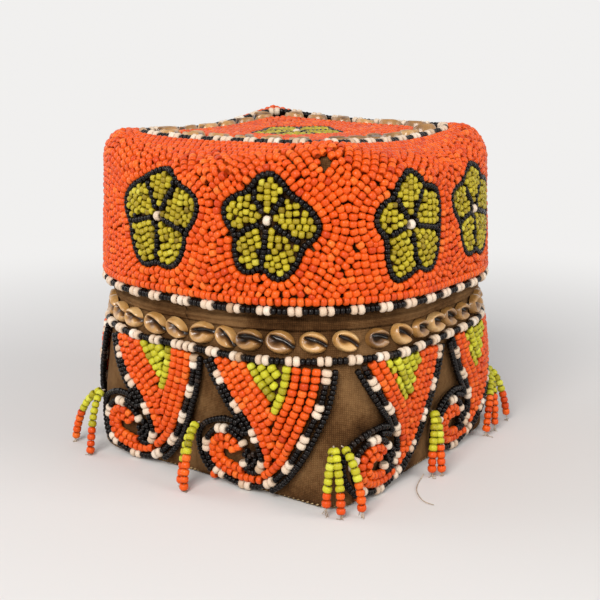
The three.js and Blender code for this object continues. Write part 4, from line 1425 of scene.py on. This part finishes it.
top_ground = Ground()
tips, notches = ([point * TOP_FLOWER_SIZE for point in scaled(line)] for line in PLAIN_FLOWER[1:])
outline = rounded(petal_outline(tips, notches), 1, closed=True)
beads = flower_beads(top_beads, outline, tips, notches, top_ground)
stitch_beads("beads_of_the_top_flower", beads, "lid", "green_beads", "lid_top_flower")
field_outline = square_line(FIELD_HALF, FIELD_CORNER)
beads = string_along(top_beads, field_outline, ["orange"], top_ground)
for level in range(FIELD_ROWS):
    distance = FIRST_ROW + level * ORANGE_ROW
    around = ring_outside(outline, distance)
    good = distance_to(outline, np.array([spot[:] for spot in around])) > distance - RING_TOLERANCE
    run = [spot for spot, fits in zip(around + around[:1], [*good, good[0]]) if fits]
    beads += string_along(top_beads, run, ["orange"], top_ground, closeness=0.8, accept=in_field)
for kind, closeness in (("orange", 0.78), ("small_orange", 0.74)):
    beads += filling_beads(top_beads, field_outline, kind, top_ground, closeness, outside_flower)
stitch_beads("beads_of_the_top_field", beads, "lid", "orange_beads", "lid_top_field")

# The table, the light and the camera. A plain pale table under soft studio light, and the camera
# at the photograph's angle.
CAMERA_AZIMUTH = math.radians(35.76)
CAMERA_PITCH = math.radians(13.28)
CAMERA_PLACE = (242.06 * mm, -334.01 * mm, 148.7 * mm)
CAMERA_LENS = 66.18
STAGE_COLOUR = (0.72, 0.71, 0.7)
BACKDROP_COLOUR = (0.88, 0.87, 0.86)
WORLD_COLOUR = (0.95, 0.96, 1)
WORLD_STRENGTH = 0.36
STAGE_NEAR = 120 * mm
STAGE_FAR = 420 * mm


def seen_only(tree):
    """One where the eye looks, straight or through a reflection, and none for the light on things."""
    path = set_node(tree, "ShaderNodeLightPath").outputs
    direct_or_mirrored = math_node(tree, "ADD", path["Is Camera Ray"], path["Is Glossy Ray"])
    return math_node(tree, "ADD", direct_or_mirrored, path["Is Transmission Ray"])


def show_either(tree, share, first, second, output):
    """The first shader where the share is none, and the second where it is one."""
    mixing = set_node(tree, "ShaderNodeMixShader", Fac=share)
    feed(tree, mixing.inputs[1], first.outputs[0])
    feed(tree, mixing.inputs[2], second.outputs[0])
    feed(tree, tree.nodes[output].inputs["Surface"], mixing.outputs[0])


def stage_material():
    """The table keeps the shadow, and farther off it turns into the plain pale backdrop."""
    material, tree, shader = new_material("pale table", 0.8, 0.2)
    feed(tree, shader.inputs["Base Color"], (*STAGE_COLOUR, 1))
    place = set_node(tree, "ShaderNodeTexCoord").outputs["Object"]
    distance = set_node(tree, "ShaderNodeVectorMath", operation="LENGTH", Vector=place)
    fading = set_node(tree, "ShaderNodeMapRange", interpolation_type="SMOOTHSTEP",
                      Value=distance.outputs["Value"], **{"From Min": STAGE_NEAR, "From Max": STAGE_FAR})
    share = math_node(tree, "MULTIPLY", fading.outputs["Result"], seen_only(tree))
    glow = set_node(tree, "ShaderNodeEmission", Color=(*BACKDROP_COLOUR, 1))
    show_either(tree, share, shader, glow, "Material Output")
    return material


bpy.ops.object.select_all(action="DESELECT")
bpy.ops.mesh.primitive_plane_add(size=6, location=(0, 0, 0))
table = bpy.context.object
table.name = "table"
table.data.materials.append(stage_material())


def area_light(name, place, size, power, colour):
    data = bpy.data.lights.new(name, "AREA")
    data.size = size
    data.energy = power
    data.color = colour
    light = bpy.data.objects.new(name, data)
    light.location = place
    light.rotation_euler = (Vector((0, 0, 60 * mm)) - Vector(place)).to_track_quat("-Z", "Y").to_euler()
    bpy.context.scene.collection.objects.link(light)


area_light("key", (0.3, -0.95, 0.75), 0.6, 13, (1, 0.97, 0.93))
area_light("fill", (-0.95, -0.35, 0.5), 0.8, 3.2, (0.95, 0.97, 1))
area_light("right", (0.9, 0.2, 0.5), 0.6, 4, (1, 0.98, 0.95))
world = bpy.data.worlds.new("studio")
world.use_nodes = True
lighting = world.node_tree.nodes["Background"]
lighting.inputs["Color"].default_value = (*WORLD_COLOUR, 1)
lighting.inputs["Strength"].default_value = WORLD_STRENGTH
backdrop = set_node(world.node_tree, "ShaderNodeBackground", Color=(*BACKDROP_COLOUR, 1))
show_either(world.node_tree, seen_only(world.node_tree), lighting, backdrop, "World Output")
bpy.context.scene.world = world
bpy.context.scene.view_settings.view_transform = "Standard"
camera_data = bpy.data.cameras.new("camera")
camera_data.lens = CAMERA_LENS
camera_data.sensor_width = 36
camera = bpy.data.objects.new("camera", camera_data)
camera.location = CAMERA_PLACE
camera.rotation_euler = (math.pi / 2 - CAMERA_PITCH, 0, CAMERA_AZIMUTH)
bpy.context.scene.collection.objects.link(camera)
bpy.context.scene.camera = camera
